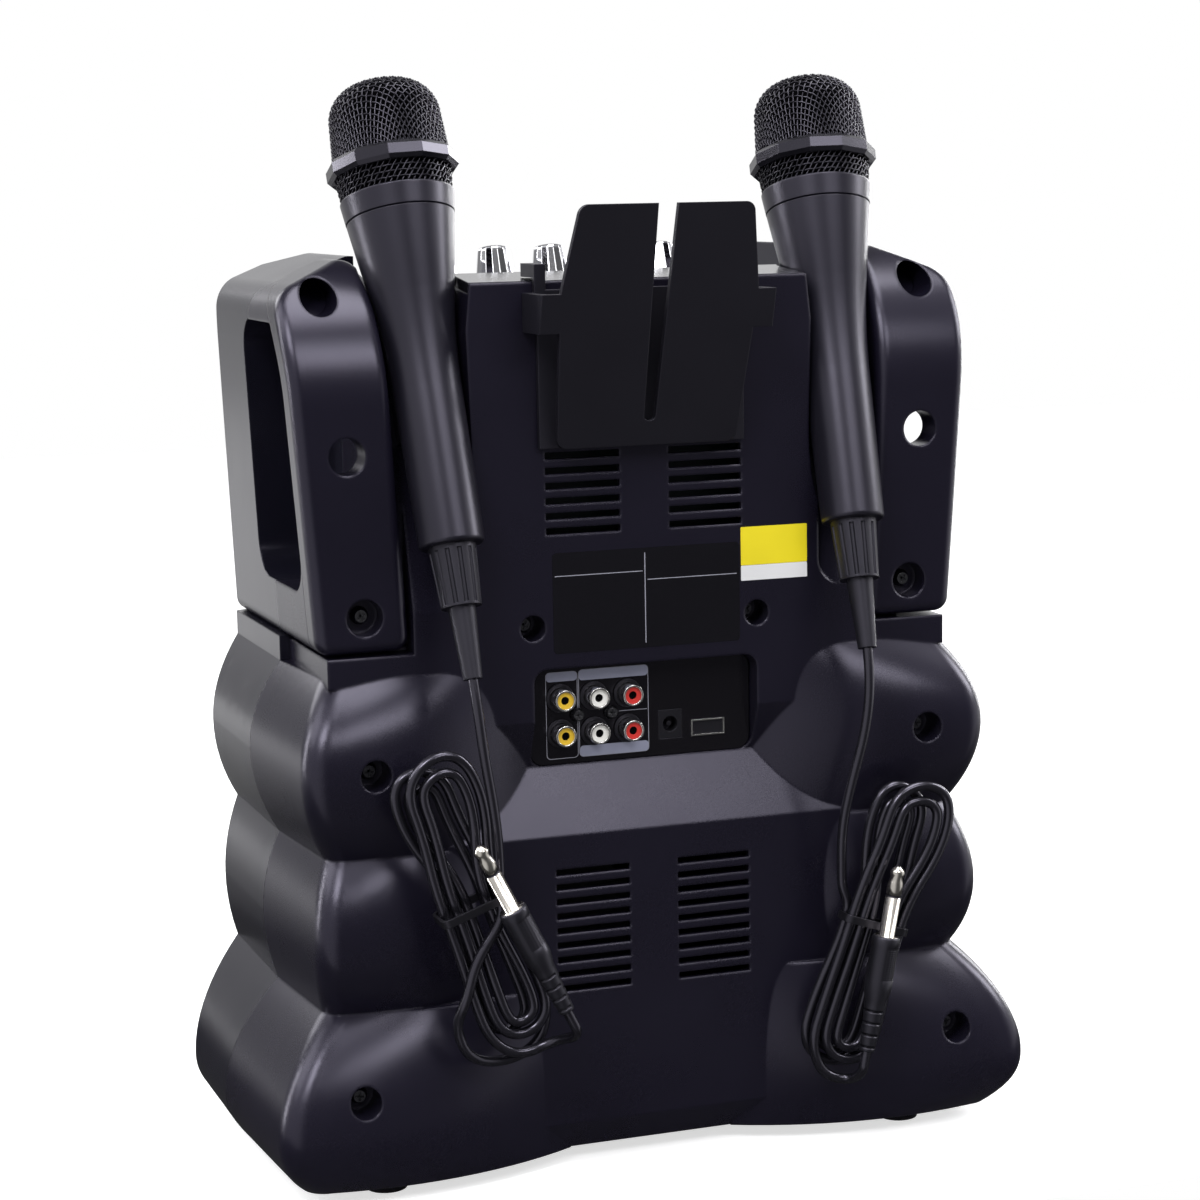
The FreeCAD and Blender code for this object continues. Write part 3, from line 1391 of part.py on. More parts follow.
def mic_tie(side):
    """A twist tie round the hank's waist."""
    centre, across, along = hank_frame(side)
    low = -CORD_R - SHAFT_GAP
    high = HANK_TOP_LAYERS[side] * HANK_LAYER + CORD_R + SHAFT_GAP
    left = HANK_WAIST + HANK_STEP * HANK_TURNS + CORD_R + SHAFT_GAP
    right = left - HANK_STEP / 2
    rings = []
    for grow in (0, TIE_THICK):
        corners = [(-left - grow, low - grow), (right + grow, low - grow)]
        corners += [(right + grow, high + grow), (-left - grow, high + grow)]
        start = centre - along * (TIE_WIDTH / 2)
        places = [start + across * u + BACK * w for u, w in corners]
        wire = rounded_wire(places, [CORD_R + grow] * len(places))
        rings.append(Part.Face(wire).extrude(along * TIE_WIDTH))
    return rings[1].cut(rings[0])


def mic_plug(side):
    foot, heading = plug_frame(side)
    neck = PLUG_RELIEF
    shoulder = PLUG_RELIEF + PLUG_BODY
    groove = PLUG_LENGTH - PLUG_TIP_LENGTH
    profile = [
        (0, 0),
        (PLUG_RELIEF_R, 0),
        (PLUG_NECK_R, neck),
        (PLUG_BODY_R, neck + PLUG_TIP_LENGTH),
        (PLUG_BODY_R, shoulder),
        (PLUG_PIN_R, shoulder),
        (PLUG_PIN_R, groove - PLUG_TIP_LENGTH / 2),
        (PLUG_GROOVE_R, groove),
        (PLUG_PIN_R, groove + PLUG_TIP_LENGTH / 3),
        (0, PLUG_LENGTH),
    ]
    return turned(profile, foot, heading)


# Front pieces

def bezel_outline(shrink):
    half = SCREEN_WIDTH / 2 + BEZEL_BORDER - shrink
    tall = SCREEN_HEIGHT / 2 + BEZEL_BORDER - shrink
    return rectangle(half, SCREEN_Z - tall, SCREEN_Z + tall)


def screen_bezel():
    far = FRONT_REACH + OVERRUN
    frame = plate_y(bezel_outline(0), FRONT_INNER_Y, far, [BEZEL_R] * 4).common(front_dome())
    window = plate_y(bezel_outline(BEZEL_BORDER), FRONT_INNER_Y - OVERRUN, far)
    seat = bezel_outline(BEZEL_BORDER - PANEL_BORDER)
    pocket = plate_y(seat, FRONT_INNER_Y - OVERRUN, FRONT_INNER_Y + PANEL_DEPTH)
    return frame.cut(group([window, pocket]))


def screen_panel():
    return plate_y(bezel_outline(BEZEL_BORDER - PANEL_BORDER), FRONT_INNER_Y, FRONT_INNER_Y + PANEL_DEPTH)


def speaker_grille():
    far = FRONT_REACH + OVERRUN
    cap = rod_y(0, SPEAKER_Z, GRILLE_DISC_R, GRILLE_SEAT_Y, far).common(front_dome())
    inner_dome = rod_z(0, FRONT_REACH - FRONT_CURVE_R, FRONT_CURVE_R - GRILLE_SKIRT, 0, DECK_Z)
    near = GRILLE_SEAT_Y - OVERRUN
    hollow = rod_y(0, SPEAKER_Z, GRILLE_DISC_R - GRILLE_SKIRT, near, far).common(inner_dome)
    cuts = [hollow]
    for index in range(GRILLE_SLOT_COUNT):
        offset = (index - (GRILLE_SLOT_COUNT - 1) / 2) * GRILLE_PITCH
        inner_r = GRILLE_DISC_R - 2 * GRILLE_SKIRT
        half = math.sqrt(inner_r * inner_r - offset * offset)
        low = SPEAKER_Z + offset - GRILLE_SLOT / 2
        cuts.append(box(-half, half, near, far, low, low + GRILLE_SLOT))
    return cap.cut(group(cuts))


def speaker_profile(points):
    """Outline of (radius, depth behind the inner wall) points, turned about the speaker's axis."""
    return turned(points, Vector(0, FRONT_INNER_Y, SPEAKER_Z), BACK)


def speaker_frame():
    deep = FLANGE_THICK + BASKET_DEPTH
    return speaker_profile([
        (CONE_R + CONE_TRAVEL, 0),
        (FLANGE_R, 0),
        (FLANGE_R, FLANGE_THICK),
        (BASKET_R, FLANGE_THICK),
        (BASKET_R, FLANGE_THICK + 2 * CONE_TRAVEL),
        (BASKET_NECK_R, deep),
        (CONE_NECK_R + CONE_TRAVEL, deep),
        (CONE_NECK_R + CONE_TRAVEL, deep - BASKET_WALL),
        (BASKET_NECK_R - BASKET_WALL, deep - BASKET_WALL),
        (CONE_R + CONE_TRAVEL, FLANGE_THICK + 2 * CONE_TRAVEL),
    ])


def speaker_cone():
    start = FLANGE_THICK / 2
    return speaker_profile([
        (CONE_R + CONE_TRAVEL - RUNNING_GAP, start),
        (CONE_R + CONE_TRAVEL - RUNNING_GAP, start + CONE_THICK),
        (CONE_R - CONE_THICK, start + CONE_THICK),
        (CONE_NECK_R, start + CONE_DEPTH),
        (0, start + CONE_DEPTH - CONE_NECK_R / 2),
        (0, start + CONE_DEPTH - CONE_NECK_R / 2 - CONE_THICK),
        (CONE_NECK_R, start + CONE_DEPTH - CONE_THICK),
        (CONE_R, start),
    ])


def speaker_magnet():
    deep = FLANGE_THICK + BASKET_DEPTH
    far = deep + MAGNET_THICK
    return speaker_profile([(0, deep), (MAGNET_R, deep), (MAGNET_R, far), (0, far)])


def front_jacks():
    jacks = []
    for side in SIDES:
        x = side * FRONT_JACK_X
        nut_face = FRONT_NUT_Y + FRONT_NUT
        body = rod_y(x, FRONT_JACK_Z, FRONT_JACK_BODY_R, FRONT_NUT_Y - FRONT_JACK_BODY, nut_face)
        nut = rod_y(x, FRONT_JACK_Z, FRONT_NUT_R, FRONT_NUT_Y, nut_face)
        bore = rod_y(x, FRONT_JACK_Z, FRONT_JACK_R, FRONT_NUT_Y - FRONT_JACK_BODY + WALL, nut_face + OVERRUN)
        jacks.append(body.fuse(nut).cut(bore))
    return group(jacks)


# Disc loader

def rack():
    pitch = math.pi * GEAR_MODULE
    high, low = TRAY_Z, TRAY_Z - RACK_HEIGHT
    tall = GEAR_MODULE * TOOTH_ADDENDUM_SHARE
    root, tip = RACK_X + tall, RACK_X - tall
    base, crest = pitch * RACK_ROOT_SHARE, pitch * RACK_TIP_SHARE
    first = math.ceil((TRAY_REAR_Y + base - PINION_Y) / pitch)
    last = math.floor((DOOR_BACK_Y - base - PINION_Y) / pitch)
    outline = [Vector(root + RACK_BACK, TRAY_REAR_Y, low), Vector(root, TRAY_REAR_Y, low)]
    for tooth in range(first, last + 1):
        y = PINION_Y + tooth * pitch
        outline += [Vector(root, y - base, low), Vector(tip, y - crest, low)]
        outline += [Vector(tip, y + crest, low), Vector(root, y + base, low)]
    outline += [Vector(root, DOOR_BACK_Y, low), Vector(root + RACK_BACK, DOOR_BACK_Y, low)]
    return Part.Face(Part.makePolygon(outline + outline[:1])).extrude(UP * (high - low))


def disc_tray():
    plate = box(-TRAY_HALF, TRAY_HALF, TRAY_REAR_Y, DOOR_BACK_Y, TRAY_Z, TRAY_Z + TRAY_THICK)
    top = TRAY_Z + TRAY_THICK
    well = rod_z(0, DISC_Y, DISC_R, top - DISC_WELL, top + OVERRUN)
    slot = rod_z(0, DISC_Y, DISC_SLOT_HALF, 0, top)
    way = box(-DISC_SLOT_HALF, DISC_SLOT_HALF, TRAY_REAR_Y - OVERRUN, DISC_Y, 0, top + OVERRUN)
    return fused([plate.cut(group([well, slot, way])), rack()])


def tray_door():
    far = FRONT_REACH + OVERRUN
    return box(-DOOR_HALF, DOOR_HALF, DOOR_BACK_Y, far, DOOR_LOW_Z, DOOR_TOP_Z).common(front_dome())


def tray_pinion():
    turn = 2 * math.pi / PINION_TEETH
    tall = GEAR_MODULE * TOOTH_ADDENDUM_SHARE
    outline = []
    for tooth in range(PINION_TEETH):
        middle = (tooth + 0.5) * turn
        root, tip = PITCH_R - tall - RUNNING_GAP, PITCH_R + tall / 2
        wide, narrow = turn * PINION_ROOT_SHARE, turn * PINION_TIP_SHARE
        for radius, angle in ((root, -wide), (tip, -narrow), (tip, narrow), (root, wide)):
            outline.append(Vector(radius * math.cos(middle + angle), radius * math.sin(middle + angle), 0))
    low = TRAY_Z - RACK_HEIGHT + RUNNING_GAP
    gear = Part.Face(Part.makePolygon(outline + outline[:1])).extrude(UP * (RACK_HEIGHT - 2 * RUNNING_GAP))
    gear.translate(Vector(PINION_X, PINION_Y, low))
    return gear.cut(rod_z(PINION_X, PINION_Y, SPINDLE_R + SHAFT_GAP, 0, TRAY_Z))


def chassis_top():
    return SHELF_Z + CHASSIS_BASE


def tray_motor():
    low = chassis_top()
    body = rod_z(PINION_X, PINION_Y, MOTOR_R, low, low + MOTOR_HEIGHT)
    return body.fuse(rod_z(PINION_X, PINION_Y, SPINDLE_R, low, TRAY_Z - RUNNING_GAP))


def loader_chassis():
    inner = TRAY_HALF + RUNNING_GAP
    outer = inner + WALL
    low, high = chassis_top(), TRAY_Z + TRAY_THICK + CHASSIS_RIM
    rear, far = SHELF_REAR_Y, FRONT_INNER_Y - RUNNING_GAP
    pieces = [box(-outer, outer, rear, far, SHELF_Z, low)]
    pieces += both_sides(box(inner, outer, rear, far, SHELF_Z, high))
    rest = TRAY_Z - RUNNING_GAP
    pieces += both_sides(box(inner - LEDGE_WIDTH, inner, rear, far, rest - WALL, rest))
    half = BRIDGE_WIDTH / 2
    pieces.append(box(-outer, outer, DISC_Y - half, DISC_Y + half, high, high + BRIDGE_THICK))
    pieces.append(rod_z(0, DISC_Y, SPINDLE_BOSS_R, SHELF_Z, HUB_LOW_Z - RUNNING_GAP))
    for y in (ROD_REAR_Y, ROD_FRONT_Y - ROD_POST):
        for side in SIDES:
            x = side * ROD_X
            pieces.append(box(x - ROD_POST, x + ROD_POST, y, y + ROD_POST, SHELF_Z, ROD_Z + ROD_POST))
    frame = fused(pieces)
    cuts = [rod_z(0, DISC_Y, SPINDLE_R + SHAFT_GAP, low, TRAY_Z)]
    cuts += both_sides(rod_y(ROD_X, ROD_Z, ROD_R, ROD_REAR_Y - OVERRUN, ROD_FRONT_Y + OVERRUN))
    return frame.cut(group(cuts))


def disc_spindle():
    edge = (HUB_TOP_Z - HUB_LOW_Z) / 4
    profile = [
        (0, chassis_top() + RUNNING_GAP - HUB_LOW_Z),
        (SPINDLE_R, chassis_top() + RUNNING_GAP - HUB_LOW_Z),
        (SPINDLE_R, 0),
        (HUB_R, 0),
        (HUB_R, edge),
        (HUB_R / 2, edge),
        (HUB_R / 2 - edge / 2, HUB_TOP_Z - HUB_LOW_Z),
        (0, HUB_TOP_Z - HUB_LOW_Z),
    ]
    return turned(profile, Vector(0, DISC_Y, HUB_LOW_Z), UP)


def sled_rods():
    return group(both_sides(rod_y(ROD_X, ROD_Z, ROD_R, ROD_REAR_Y, ROD_FRONT_Y)))


def laser_sled():
    low = ROD_Z - SLED_HEIGHT / 2
    block = box(-SLED_HALF, SLED_HALF, SLED_Y, SLED_Y + SLED_DEPTH, low, low + SLED_HEIGHT)
    lens = rod_z(0, SLED_Y + SLED_DEPTH / 2, LENS_R, low, low + SLED_HEIGHT + LENS_HEIGHT)
    far = SLED_Y + SLED_DEPTH + OVERRUN
    bores = both_sides(rod_y(ROD_X, ROD_Z, ROD_R + SHAFT_GAP, SLED_Y - OVERRUN, far))
    return block.fuse(lens).cut(group(bores))


def main_board():
    half = BOARD_WIDTH / 2
    return box(-half, half, BOARD_Y, BOARD_Y + BOARD_THICK, BOARD_LOW_Z, BOARD_TOP_Z)


# Every piece under its own name

def all_pieces():
    pieces = {
        "rear_shell": rear_shell(),
        "front_shell": front_shell(),
        "top_deck": top_deck(),
        "feet": feet(),
        "case_screws": case_screws(),
        "jack_plate": jack_plate(),
        "rca_shells": rca_shells(),
        "dc_socket": dc_socket(),
        "usb_socket": usb_socket(),
        "potentiometers": potentiometers(),
        "phone_holder": phone_holder(),
        "mic_cradles": mic_cradles(),
        "screen_bezel": screen_bezel(),
        "screen_panel": screen_panel(),
        "speaker_grille": speaker_grille(),
        "speaker_frame": speaker_frame(),
        "speaker_cone": speaker_cone(),
        "speaker_magnet": speaker_magnet(),
        "front_jacks": front_jacks(),
        "disc_tray": disc_tray(),
        "tray_door": tray_door(),
        "tray_pinion": tray_pinion(),
        "tray_motor": tray_motor(),
        "loader_chassis": loader_chassis(),
        "disc_spindle": disc_spindle(),
        "sled_rods": sled_rods(),
        "laser_sled": laser_sled(),
        "main_board": main_board(),
    }
    for name, x in zip(("video", "left", "right"), rca_columns()):
        pieces["rca_%s_inserts" % name] = rca_inserts(x)
    for index in range(KNOB_COUNT):
        pieces["knob_%d" % (index + 1)] = knob(index)
    for index in range(BUTTON_COUNT):
        pieces["button_%d" % (index + 1)] = button(index)
    for name, side in (("left", -1), ("right", 1)):
        pieces["handle_cover_" + name] = handle_cover(side)
        pieces["mic_handle_" + name] = mic_handle(side)
        pieces["mic_grille_" + name] = mic_grille(side)
        pieces["mic_ring_" + name] = mic_ring(side)
        pieces["mic_boot_" + name] = mic_boot(side)
        pieces["mic_cord_" + name] = mic_cord(side)
        pieces["mic_hank_" + name] = mic_hank(side)
        pieces["mic_tie_" + name] = mic_tie(side)
        pieces["mic_plug_" + name] = mic_plug(side)
    return pieces


def print_cords():
    area = math.pi * CORD_R * CORD_R
    for name, side in (("left", -1), ("right", 1)):
        route, radii = route_curves(cord_route(side))
        free = sum(curve.toShape().Length for curve in route)
        gap, place, wound = least_gap(hank_curves(side), CORD_R)
        print(name, "cord: free stretch %.0f, hank %.0f, least gap %.2f" % (free, wound, gap), place)
        print("  radii", [round(radius, 1) for radius in radii])
        bends = [curve.toShape().Curve for curve in hank_curves(side)]
        tightest = min(bend.Radius for bend in bends if isinstance(bend, Part.Circle))
        print("  tightest turn in the hank %.1f" % tightest)
        print("  tube volume over section times length %.4f, %.4f" % (
            mic_cord(side).Volume / (area * free), mic_hank(side).Volume / (area * wound)))


def main():
    os.makedirs("parts", exist_ok=True)
    for name, shape in all_pieces().items():
        placed = shape.copy()
        placed.translate(Vector(0, PANEL_Y, 0))
        placed.exportStep("parts/%s.step" % name)
        print(name, "valid" if placed.isValid() else "NOT VALID", len(placed.Solids), round(placed.Volume))
    print_cords()


main()
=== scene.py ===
# %% [markdown]
# # A karaoke machine, dressed for its picture
#
# The machine stands with its back to us: a black moulded cabinet with three swollen lobes down each side, a
# carrying handle in each upper corner, two corded microphones parked in channels, and a phone holder hung
# over the top edge. The exact solids come in as a fixed frame. This lesson gives them their finishes and adds
# what is too fine or too soft for a solid: woven wire, wound cords, screws, printed bars and bare plates.

# %% Load the frame
import bpy
import bmesh
import json
import math
from mathutils import Matrix, Vector


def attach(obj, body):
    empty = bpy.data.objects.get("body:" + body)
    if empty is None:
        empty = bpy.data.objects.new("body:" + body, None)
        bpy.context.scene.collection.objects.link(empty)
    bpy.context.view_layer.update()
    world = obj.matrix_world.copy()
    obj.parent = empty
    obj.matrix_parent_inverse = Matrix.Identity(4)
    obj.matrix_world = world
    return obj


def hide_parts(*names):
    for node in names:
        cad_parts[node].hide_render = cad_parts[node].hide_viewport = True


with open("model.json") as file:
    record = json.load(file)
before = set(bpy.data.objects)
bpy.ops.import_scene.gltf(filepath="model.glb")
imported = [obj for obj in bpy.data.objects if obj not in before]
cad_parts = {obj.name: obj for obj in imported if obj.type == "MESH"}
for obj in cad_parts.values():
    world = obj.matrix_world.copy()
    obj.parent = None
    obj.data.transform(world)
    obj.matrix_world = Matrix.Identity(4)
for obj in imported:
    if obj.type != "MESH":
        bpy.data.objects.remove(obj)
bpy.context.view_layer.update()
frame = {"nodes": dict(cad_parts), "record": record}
nodes = frame["nodes"]
scene = bpy.context.scene

# %% [markdown]
# ## Places in millimetres
#
# Sizes on this machine are easiest to think of in millimetres, measured from the plane of the upper back
# panel: X to the right, Y into the machine and Z up from the floor. One helper turns such a place into
# the frame's metres, so that every later cell can use the numbers a ruler would give. Another stands a piece
# on its foot, and a third puts anything new into the scene.

# %% A ruler
PANEL_Y = -65.75
MM = 0.001
SIDES = {"left": -1, "right": 1}


def at(x, y, z):
    """A place on the machine, in millimetres from the back panel, as metres in the frame."""
    return Vector((x, y + PANEL_Y, z)) * MM


def standing(foot, axis):
    """The matrix that stands a piece made along Z, in millimetres, on a foot along an axis."""
    side = axis.orthogonal().normalized()
    turned = Matrix((side, axis.cross(side), axis)).transposed().to_4x4()
    return Matrix.Translation(foot) @ turned @ Matrix.Scale(MM, 4)


def linked(name, data):
    """A new object in the scene."""
    made = bpy.data.objects.new(name, data)
    scene.collection.objects.link(made)
    return made


print("the back panel lies at y = %.4f m" % at(0, 0, 0).y)

# %% [markdown]
# ## The camera
#
# The picture was taken a little to the left of the machine and a little above its middle, from about a metre,
# with a long lens and the camera turned by one degree. A camera's own axes are right, up and backwards, so
# the three directions are worked out from those angles and become the columns of its rotation.

# %% Camera
CAMERA_TURN_DEG, CAMERA_RISE_DEG, CAMERA_ROLL_DEG = -19.84, 8.448, -1.011
CAMERA_PLACE = (-384.5, -1013.3, 382.4)
LENS_MM, SENSOR_MM, CLIP_END_M = 85.55, 36.0, 20.0
turn, rise, roll = (math.radians(a) for a in (CAMERA_TURN_DEG, CAMERA_RISE_DEG, CAMERA_ROLL_DEG))
level = Vector((math.cos(turn), math.sin(turn), 0))
backwards = Vector((math.sin(turn) * math.cos(rise), -math.cos(turn) * math.cos(rise), math.sin(rise)))
upright = backwards.cross(level)
right = level * math.cos(roll) + upright * math.sin(roll)
up = upright * math.cos(roll) - level * math.sin(roll)
camera = linked("camera", bpy.data.cameras.new("camera"))
camera.data.lens, camera.data.sensor_width, camera.data.clip_end = LENS_MM, SENSOR_MM, CLIP_END_M
turned = Matrix((right, up, backwards)).transposed().to_4x4()
camera.matrix_world = Matrix.Translation(at(*CAMERA_PLACE)) @ turned
scene.camera = camera
print("camera stands", tuple(round(c, 3) for c in camera.location))

# %% [markdown]
# ## Writing node trees as sums
#
# A finish is a small calculation over the surface: noise here, a mask there, mixed into colour, roughness and
# bump. A Geometry Nodes tree is the same kind of calculation over points. Wiring nodes one by one hides it.
# One small class wraps a socket, so that `1 - mask` or `grain * 0.2 + 0.3` adds the Math nodes by itself, and
# one method makes every other kind of node.

# %% Node maths
class Value:
    """A socket that can be used in Python sums."""

    def __init__(self, wiring, socket):
        self.wiring, self.socket = wiring, socket

    def sum(self, operation, first, second=0.0):
        return self.wiring.node("ShaderNodeMath", {"operation": operation}, {0: first, 1: second})

    def __add__(self, other):
        return self.sum("ADD", self, other)

    def __radd__(self, other):
        return self.sum("ADD", other, self)

    def __sub__(self, other):
        return self.sum("SUBTRACT", self, other)

    def __rsub__(self, other):
        return self.sum("SUBTRACT", other, self)

    def __mul__(self, other):
        return self.sum("MULTIPLY", self, other)

    def __rmul__(self, other):
        return self.sum("MULTIPLY", other, self)

    def __truediv__(self, other):
        return self.sum("DIVIDE", self, other)

    def __lt__(self, other):
        return self.sum("LESS_THAN", self, other)

    def least(self, other):
        return self.sum("MINIMUM", self, other)

    def most(self, other):
        return self.sum("MAXIMUM", self, other)

    def cos(self):
        return self.sum("COSINE", self)

    def sin(self):
        return self.sum("SINE", self)


class Wiring:
    """A node tree under construction."""

    def node(self, kind, settings=None, inputs=None, out=0):
        made = self.tree.nodes.new(kind)
        for key, value in (settings or {}).items():
            setattr(made, key, value)
        for key, value in (inputs or {}).items():
            self.join(made.inputs[key], value)
        return Value(self, made.outputs[out])

    def join(self, socket, value):
        if isinstance(value, Value):
            self.tree.links.new(value.socket, socket)
        elif isinstance(value, list) and isinstance(value[0], Value):
            for one in value:
                self.tree.links.new(one.socket, socket)
        else:
            socket.default_value = value

    def apart(self, vector):
        """The three numbers of a vector."""
        first = self.node("ShaderNodeSeparateXYZ", {}, {0: vector})
        return [Value(self, first.socket.node.outputs[k]) for k in range(3)]

    def together(self, x, y, z):
        return self.node("ShaderNodeCombineXYZ", {}, {0: x, 1: y, 2: z})


print("node sums ready")

# %% [markdown]
# A material is such a tree with a shader at its end. Its class knows the few things every finish needs: noise
# of a size in millimetres, a blend of two colours, and a bump that can round the edges as well.

# %% Materials
class Finish(Wiring):
    """A material under construction."""

    def __init__(self, name):
        self.material = bpy.data.materials.new(name)
        self.material.use_nodes = True
        self.tree = self.material.node_tree
        self.shader = self.tree.nodes["Principled BSDF"]

    def place(self, size_mm):
        """Object coordinates, counted in steps of the given size."""
        where = self.node("ShaderNodeTexCoord", out="Object")
        scale = [1.0 / (size_mm * MM)] * 3
        return self.node("ShaderNodeVectorMath", {"operation": "MULTIPLY"}, {0: where, 1: scale})

    def noise(self, size_mm, detail):
        spots = {"Vector": self.place(size_mm), "Scale": 1.0, "Detail": detail, "Roughness": 0.5}
        return self.node("ShaderNodeTexNoise", {}, spots)

    def blend(self, share, low, high):
        """A colour between two colours."""
        return self.node("ShaderNodeMix", {"data_type": "RGBA"}, {0: share, 6: low, 7: high}, out=2)

    def bump(self, height, depth_mm, strength, edge_mm):
        inputs = {"Height": height, "Distance": depth_mm * MM, "Strength": strength}
        if edge_mm:
            inputs["Normal"] = self.node("ShaderNodeBevel", {"samples": 4}, {"Radius": edge_mm * MM})
        return self.node("ShaderNodeBump", {}, inputs)

    def surface(self, **sockets):
        for name, value in sockets.items():
            self.join(self.shader.inputs[name.replace("_", " ")], value)


def rgb(red, green, blue):
    return (red, green, blue, 1.0)


print("materials ready")

# %% [markdown]
# ## Moulded plastics
#
# Nearly everything here is injection-moulded ABS. The rear shell and the handles were moulded in a finely
# etched tool, so they are satin, with a grain of about a third of a millimetre and slow changes of sheen.
# The front shell and the deck came from a polished tool and reflect almost like lacquer. One function makes
# both: only the grain and the sheen differ. A tool's edge is never sharp, so the normal is also rounded at
# each edge, by a millimetre and a half on the rear shell and the handles and by less elsewhere, which is
# where a black moulding catches the light. The blacks reflect with a faint violet tint.

# %% Plastic finishes
VIOLET_SHEEN = rgb(0.84, 0.80, 1.0)
BLACK_BELOW = 0.02
DRIFT_MM, DARKER, LIGHTER = 38.0, 0.86, 1.14


def plastic(name, colour, sheen, grain_mm=0.35, depth_mm=0.02, drift=0.06, edge_mm=0.5, gloss=0.5):
    f = Finish(name)
    grain = f.noise(grain_mm, 3.0)
    slow = f.noise(DRIFT_MM, 2.0)
    shade = f.blend(slow, rgb(*(c * DARKER for c in colour)), rgb(*(c * LIGHTER for c in colour)))
    rough = sheen + drift * (slow - 0.5) + 0.5 * drift * (grain - 0.5)
    f.surface(Base_Color=shade, Roughness=rough, Normal=f.bump(grain, depth_mm, 0.5, edge_mm))
    if max(colour) < BLACK_BELOW:
        f.surface(Specular_Tint=VIOLET_SHEEN)
    f.surface(Specular_IOR_Level=gloss)
    return f.material


finishes = {
    "cabinet_rear": plastic("satin_shell", (0.0064, 0.0055, 0.0118), 0.28, edge_mm=1.6),
    "handle_plastic": plastic("satin_handle", (0.0064, 0.0055, 0.0118), 0.26, edge_mm=1.6),
    "cabinet_front": plastic("gloss_shell", (0.0062, 0.0060, 0.0110), 0.24, 1.2, 0.004, 0.05, 0.8),
    "deck_gloss": plastic("gloss_deck", (0.006, 0.006, 0.0075), 0.14, 1.2, 0.003, 0.04),
    "jack_gloss": plastic("gloss_jack_plate", (0.004, 0.0036, 0.0045), 0.16, 1.0, 0.003, 0.04),
    "socket_black": plastic("socket_nylon", (0.006, 0.006, 0.007), 0.42),
    "holder_plastic": plastic("matt_holder", (0.0042, 0.0040, 0.0062), 0.46, 0.5, 0.03, 0.08, 0.6),
    "cradle_plastic": plastic("cradle_nylon", (0.006, 0.006, 0.008), 0.45),
    "bezel_gloss": plastic("gloss_bezel", (0.004, 0.004, 0.005), 0.1, 1.0, 0.002, 0.03),
    "grille_plastic": plastic("grille_nylon", (0.01, 0.01, 0.012), 0.42),
    "tray_plastic": plastic("tray_nylon", (0.02, 0.02, 0.022), 0.4),
    "gear_plastic": plastic("natural_nylon", (0.62, 0.61, 0.57), 0.38, 0.6, 0.01),
    "chassis_plastic": plastic("chassis_nylon", (0.03, 0.03, 0.032), 0.45),
    "insert_yellow": plastic("yellow_insert", (0.72, 0.46, 0.03), 0.3, 0.5, 0.006, 0.06, 0.2),
    "insert_white": plastic("white_insert", (0.78, 0.77, 0.74), 0.3, 0.5, 0.006, 0.06, 0.2),
    "insert_red": plastic("red_insert", (0.55, 0.03, 0.025), 0.3, 0.5, 0.006, 0.06, 0.2),
    "button_plastic": plastic("gloss_button", (0.05, 0.05, 0.058), 0.2, 0.8, 0.004),
    "mic_plastic": plastic("satin_microphone", (0.0066, 0.0062, 0.0100), 0.33, 0.28, 0.016, 0.06, 0.3),
    "ring_gloss": plastic("gloss_ring", (0.006, 0.0058, 0.0078), 0.13, 0.6, 0.002, 0.04, 0.3, 0.58),
    "boot_rubber": plastic("moulded_boot", (0.006, 0.006, 0.008), 0.42, 0.4, 0.02, 0.06, 0.3),
    "foot_rubber": plastic("rubber_foot", (0.008, 0.008, 0.009), 0.72, 0.5, 0.04),
    "tie_vinyl": plastic("vinyl_tie", (0.005, 0.005, 0.006), 0.34, 0.5, 0.01, 0.05, 0.4),
    "cone_paper": plastic("pressed_paper", (0.02, 0.02, 0.02), 0.85, 0.5, 0.08),
    "board_green": plastic("solder_mask", (0.004, 0.012, 0.008), 0.4, 0.8, 0.01),
    "screen_glass": plastic("dark_display", (0.004, 0.005, 0.008), 0.07, 2.0, 0.0005, 0.02),
    "cord_vinyl": plastic("vinyl_cord", (0.0060, 0.0058, 0.0078), 0.22, 0.6, 0.012, 0.05, 0.0, 0.8),
    "magnet_ferrite": plastic("ferrite", (0.05, 0.05, 0.052), 0.6, 0.5, 0.03),
    "plug_body": plastic("moulded_plug", (0.007, 0.007, 0.009), 0.38, 0.4, 0.02, 0.06, 0.15),
    "foam": plastic("black_foam", (0.0012, 0.0012, 0.0015), 0.95, 0.7, 0.3, 0.05, 0.0, 0.05),
}
print("plastics:", len(finishes))

# %% [markdown]
# ## Metals
#
# Knobs, phono sockets and the plug's pin are plated. Plating is a mirror with a faint haze and fine polishing
# marks, so the metals share a function too: full metallic, a colour for the plating, and a roughness that
# wanders a little. The wire of the microphones' heads is painted black, so it takes a plastic's finish.

# %% Metal finishes
MARK_MM, CLOUD_MM, MARK_DEPTH_MM, METAL_EDGE_MM = 0.5, 9.0, 0.004, 0.2


def metal(name, colour, sheen):
    f = Finish(name)
    haze = f.noise(MARK_MM, 3.0)
    slow = f.noise(CLOUD_MM, 2.0)
    shade = f.blend(slow, rgb(*(c * 0.92 for c in colour)), rgb(*colour))
    f.surface(Base_Color=shade, Roughness=sheen + 0.08 * (haze - 0.5), Metallic=1.0)
    f.surface(Normal=f.bump(haze, MARK_DEPTH_MM, 0.3, METAL_EDGE_MM))
    return f.material


